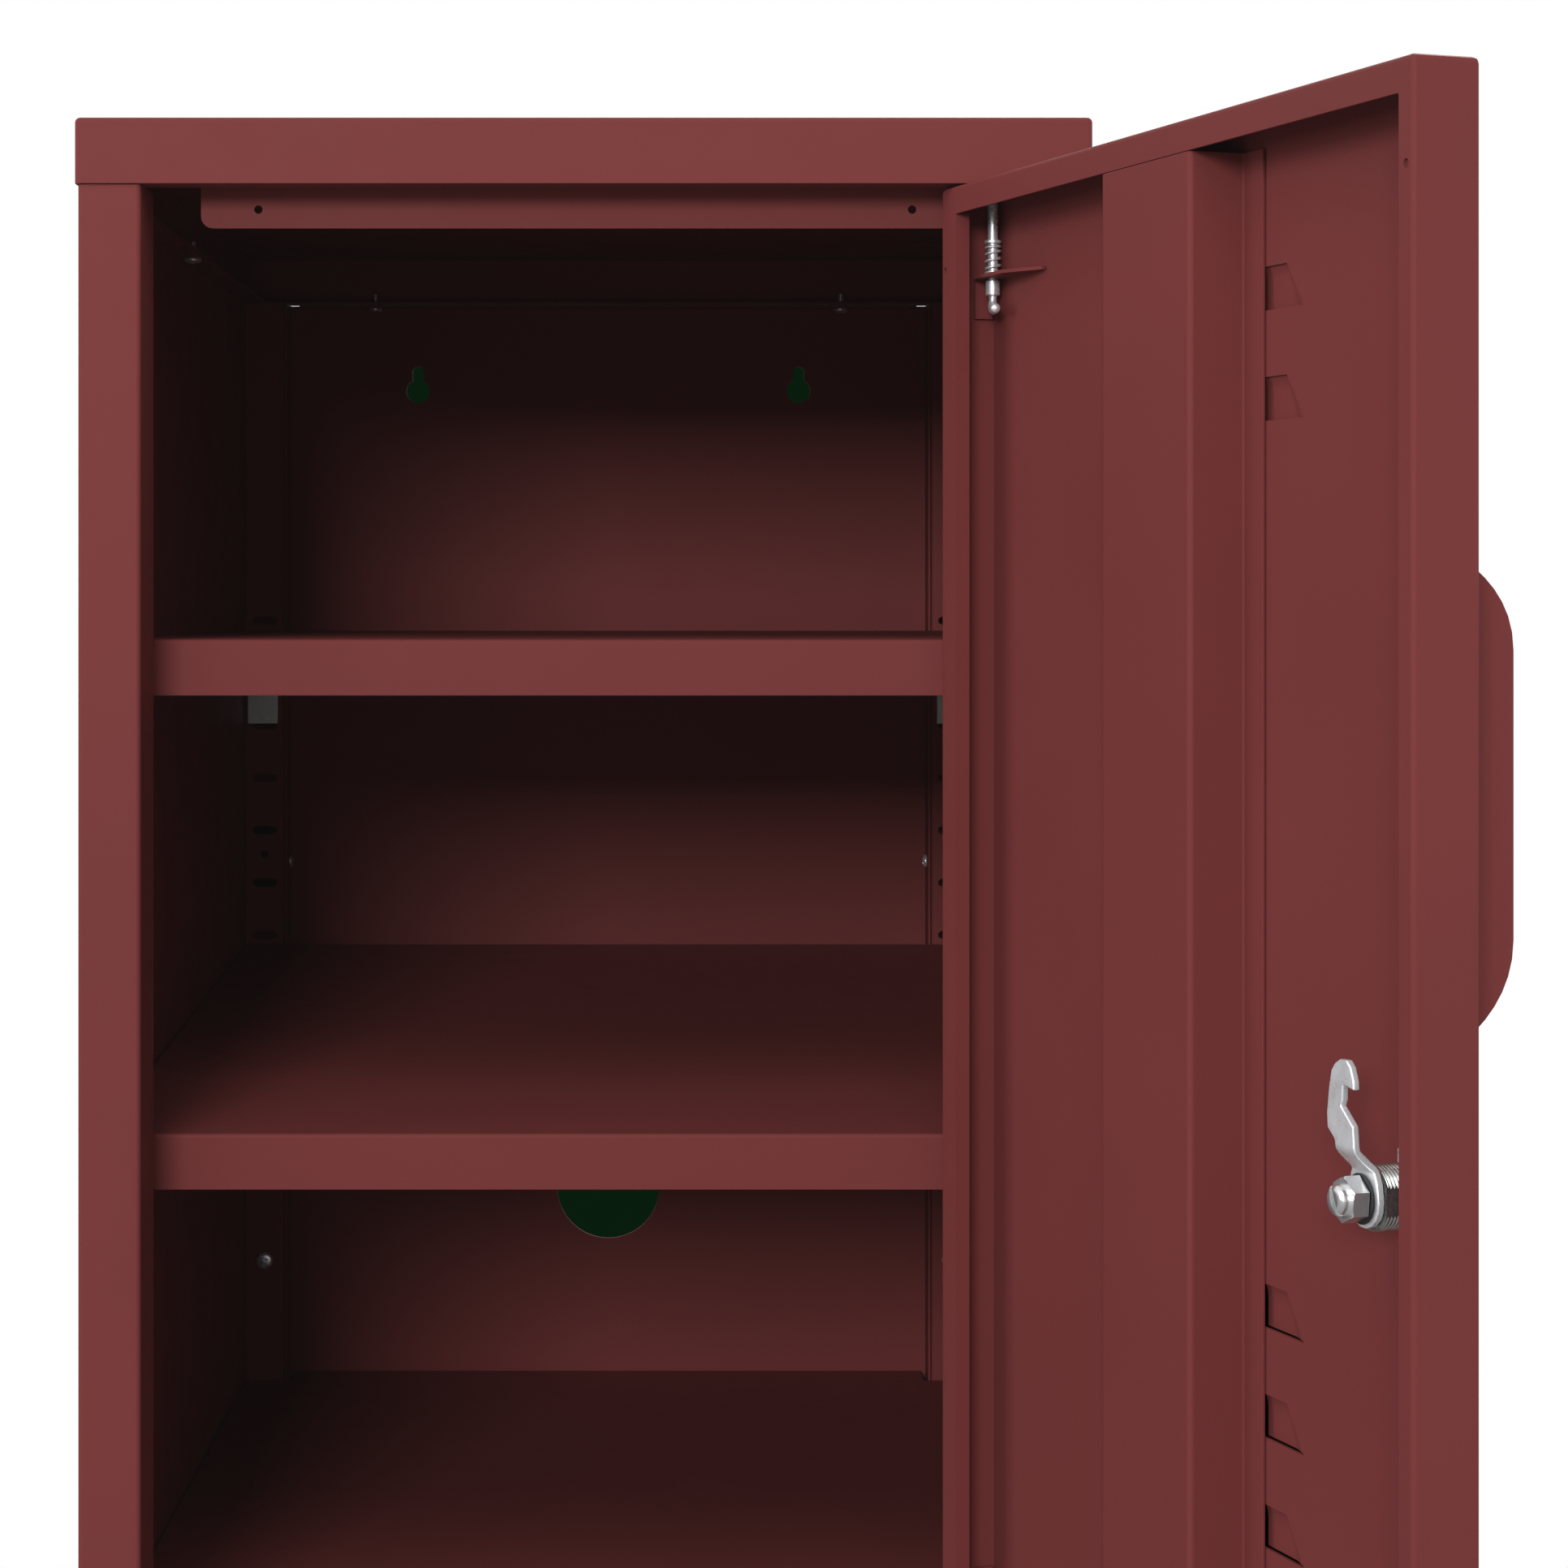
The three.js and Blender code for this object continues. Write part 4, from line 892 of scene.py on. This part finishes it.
def build_lock_plug():
    """The keyed plug, which steps down to a thinner end at the back."""
    lo, hi = local_box("lock_plug", DOOR)
    plug = lathe(
        [(0, lo.y), (5.35, lo.y), (5.8, lo.y + 0.3), (PLUG_R, lo.y + 0.8), (PLUG_R, 17.2),
         (5.7, 17.4), (PLUG_END_R, 17.4), (PLUG_END_R, hi.y), (0, hi.y)],
        64,
    )
    mesh = carve(plug, ("DIFFERENCE", prism(KEYWAY, lo.y - 1, 6.0)))
    make("lock_plug", mesh, LOCK, bevel_mm=0.1)


def build_cam_screw():
    """A hexagon with a round, slotted boss at the back."""
    cad_front = local_box("cam_screw", DOOR)[0].y
    front = cad_front if cad_front > 20 else 21.6
    head = join_shapes(chamfered_hex(CAM_HEX_R, front, CAM_HEX_BACK, turn=0.42))
    boss = lathe(
        [(0, front + 1), (CAM_BOSS_R, front + 1), (CAM_BOSS_R, CAM_END - 1.2),
         (4.1, CAM_END - 0.6), (3.6, CAM_END - 0.2), (2.6, CAM_END), (0, CAM_END)],
        48,
    )
    slot = slab(-6, 6, -SLOT_HALF_W, SLOT_HALF_W, CAM_END - SLOT_DEPTH, CAM_END + 2)
    turn = Matrix.Rotation(math.radians(-62), 3, "Z")
    bmesh.ops.rotate(slot, verts=slot.verts, cent=(0, 0, 0), matrix=turn)
    mesh = carve(head, ("UNION", boss), ("DIFFERENCE", slot), name="hexa")
    make("cam_screw", mesh, LOCK, bevel_mm=0.18)


build_lock_barrel()
build_lock_plug()
build_cam_screw()


# ------------------------------------------------------------------ stage (metres)
FLOOR_COLOUR = (0.87, 0.87, 0.865)
FLOOR_R = 9
FLOOR_Z = -0.0002
BOUNCE = 0.35  # how much of the floor's brightness is thrown back at the object
FADE_START, FADE_END = 0.5, 0.78  # distances over which the floor fades to white
CARD_GAP = 0.0045
CARD_MIN_RAY = 0.03


def floor_material():
    """Pale floor that fades to the white of the backdrop, so that no horizon shows."""
    shader = Shader("floor_pale")
    vector = shader.coords()
    camera_ray = shader.node("ShaderNodeLightPath").outputs["Is Camera Ray"]
    mottle = shader.noise(vector, 3.0, detail=3.0)
    seen = shader.mix(mottle, shade(FLOOR_COLOUR, 0.985), FLOOR_COLOUR)
    shader.principled(
        Base_Color=shader.mix(camera_ray, shade(FLOOR_COLOUR, BOUNCE), seen),
        Roughness=0.7,
        Specular_IOR_Level=0.15,
    )
    length = shader.node("ShaderNodeVectorMath", operation="LENGTH")
    shader.link(vector, length.inputs[0])
    far = shader.remap(length.outputs["Value"], FADE_START, FADE_END)
    glow = shader.node("ShaderNodeEmission")
    glow.inputs["Color"].default_value = (1, 1, 1, 1)
    blend = shader.node("ShaderNodeMixShader")
    shader.link(shader.calc("MULTIPLY", far, camera_ray, clamp=True), blend.inputs[0])
    shader.link(shader.bsdf.outputs[0], blend.inputs[1])
    shader.link(glow.outputs[0], blend.inputs[2])
    shader.link(blend.outputs[0], shader.out.inputs[0])
    return shader.mat


def card_material():
    """Painted shade: a dark glow from its front side to camera rays and long rays, and clear to all
    others.
    """
    shader = Shader("card_painted_shade")
    mottle = shader.noise(shader.coords(), 20.0)
    glow = shader.node("ShaderNodeEmission")
    # painted shade: a near-black, greenish glow seen through the back panel's holes
    dark = shader.mix(mottle, (0.0022, 0.0110, 0.0036), (0.0034, 0.0135, 0.0048))
    shader.link(dark, glow.inputs["Color"])
    clear = shader.node("ShaderNodeBsdfTransparent")
    backfacing = shader.node("ShaderNodeNewGeometry").outputs["Backfacing"]
    path = shader.node("ShaderNodeLightPath")
    far = shader.calc("GREATER_THAN", path.outputs["Ray Length"], CARD_MIN_RAY)
    ray = shader.calc("MAXIMUM", path.outputs["Is Camera Ray"], far)
    seen = shader.calc("MULTIPLY", ray, shader.calc("SUBTRACT", 1.0, backfacing))
    blend = shader.node("ShaderNodeMixShader")
    shader.link(seen, blend.inputs[0])
    shader.link(clear.outputs[0], blend.inputs[1])
    shader.link(glow.outputs[0], blend.inputs[2])
    shader.link(blend.outputs[0], shader.out.inputs[0])
    return shader.mat


def stage_mesh(name, verts, faces, mat):
    mesh = bpy.data.meshes.new(name)
    mesh.from_pydata(verts, [], faces)
    obj = bpy.data.objects.new(name, mesh)
    bpy.context.scene.collection.objects.link(obj)
    mesh.materials.append(mat)


def build_floor():
    seg = 64
    disc = [(0, 0, FLOOR_Z)] + circle(FLOOR_R, FLOOR_Z, seg)
    faces = [(0, i + 1, (i + 1) % seg + 1) for i in range(seg)]
    stage_mesh("floor", disc, faces, floor_material())


def build_card():
    """A card of painted shade behind the back panel, which closes its holes for what looks out from
    inside.
    """
    lo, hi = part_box("back_panel")
    y = hi.y + CARD_GAP
    x0, x1 = lo.x - 0.012, hi.x + 0.012
    z0, z1 = lo.z + 0.004, hi.z - 0.002
    corners = [(x0, y, z0), (x1, y, z0), (x1, y, z1), (x0, y, z1)]
    stage_mesh("card", corners, [(0, 1, 2, 3)], card_material())


build_floor()
build_card()


# ------------------------------------------------------------------ light and camera
def area_light(name, position, target, width, height, watts):
    """Position and target are in metres from the design origin."""
    light = bpy.data.lights.new(name, "AREA")
    light.energy = watts
    light.shape = "RECTANGLE"
    light.size = width
    light.size_y = height
    obj = bpy.data.objects.new(name, light)
    obj.location = Vector(position) + ORIGIN
    aim = Vector(target) - Vector(position)
    obj.rotation_euler = aim.to_track_quat("-Z", "Y").to_euler()
    bpy.context.scene.collection.objects.link(obj)
    return obj


area_light(
    "key", (-0.85, -4.2, 1.47), target=(0.03, 0.0, 0.50), width=1.36, height=0.85, watts=95
)
area_light(
    "top_front", (-0.5, -1.8, 2.6), target=(0.0, 0.0, 0.35), width=2.0, height=1.2, watts=17
)
area_light(
    "fill_left", (-3.2, -0.9, 1.2), target=(0.2, -0.1, 0.45), width=1.8, height=1.8, watts=30
)
area_light(
    "fill_right", (2.8, -0.6, 1.3), target=(0.1, 0.1, 0.45), width=1.8, height=1.8, watts=12
)
back_light = area_light(
    "back", (0.9, 2.8, 2.1), target=(0, 0.2, 0.4), width=1.8, height=1.4, watts=34
)

# The back light would reach the floor panel and the shelves through the back panel's holes.
lit = bpy.data.collections.new("lit_from_behind")
unlit = [NODES[name] for name in ("floor_panel", "lower_shelf", "upper_shelf")]
for obj in bpy.context.scene.objects:
    if obj.type == "MESH" and obj not in unlit:
        lit.objects.link(obj)
back_light.light_linking.receiver_collection = lit


def build_world():
    """White surroundings, with their own strength for reflections and for the camera."""
    world = bpy.data.worlds.new("studio")
    world.use_nodes = True
    tree = world.node_tree
    tree.nodes.clear()
    out = tree.nodes.new("ShaderNodeOutputWorld")
    path = tree.nodes.new("ShaderNodeLightPath")

    def background(strength):
        node = tree.nodes.new("ShaderNodeBackground")
        node.inputs[0].default_value = (1, 1, 1, 1)
        node.inputs[1].default_value = strength
        return node

    def switch(ray, otherwise, chosen):
        node = tree.nodes.new("ShaderNodeMixShader")
        tree.links.new(path.outputs[ray], node.inputs[0])
        tree.links.new(otherwise.outputs[0], node.inputs[1])
        tree.links.new(chosen.outputs[0], node.inputs[2])
        return node

    ambient = background(strength=0.32)
    reflected = switch("Is Glossy Ray", ambient, background(strength=0.90))
    surface = switch("Is Camera Ray", reflected, background(strength=1.0))
    tree.links.new(surface.outputs[0], out.inputs[0])
    bpy.context.scene.world = world


def build_camera():
    """A level camera in front of the locker, looking along +Y."""
    camera = bpy.data.cameras.new("camera")
    camera.sensor_fit = "HORIZONTAL"
    camera.sensor_width = 36.0
    camera.lens = 75.5776397516
    camera.shift_x = 0.0730848861284
    camera.shift_y = -0.113302277433
    camera.clip_start = 0.01
    camera.clip_end = 60.0
    obj = bpy.data.objects.new("camera", camera)
    obj.location = (ORIGIN.x + 0.0295, ORIGIN.y - 1.1316, cover_hi.z - 0.1681)
    obj.rotation_euler = (math.radians(90), 0, 0)
    bpy.context.scene.collection.objects.link(obj)
    bpy.context.scene.camera = obj


build_world()
build_camera()

view = bpy.context.scene.view_settings
view.view_transform = "Standard"
view.look = "None"
view.exposure = 0.0
view.gamma = 1.0
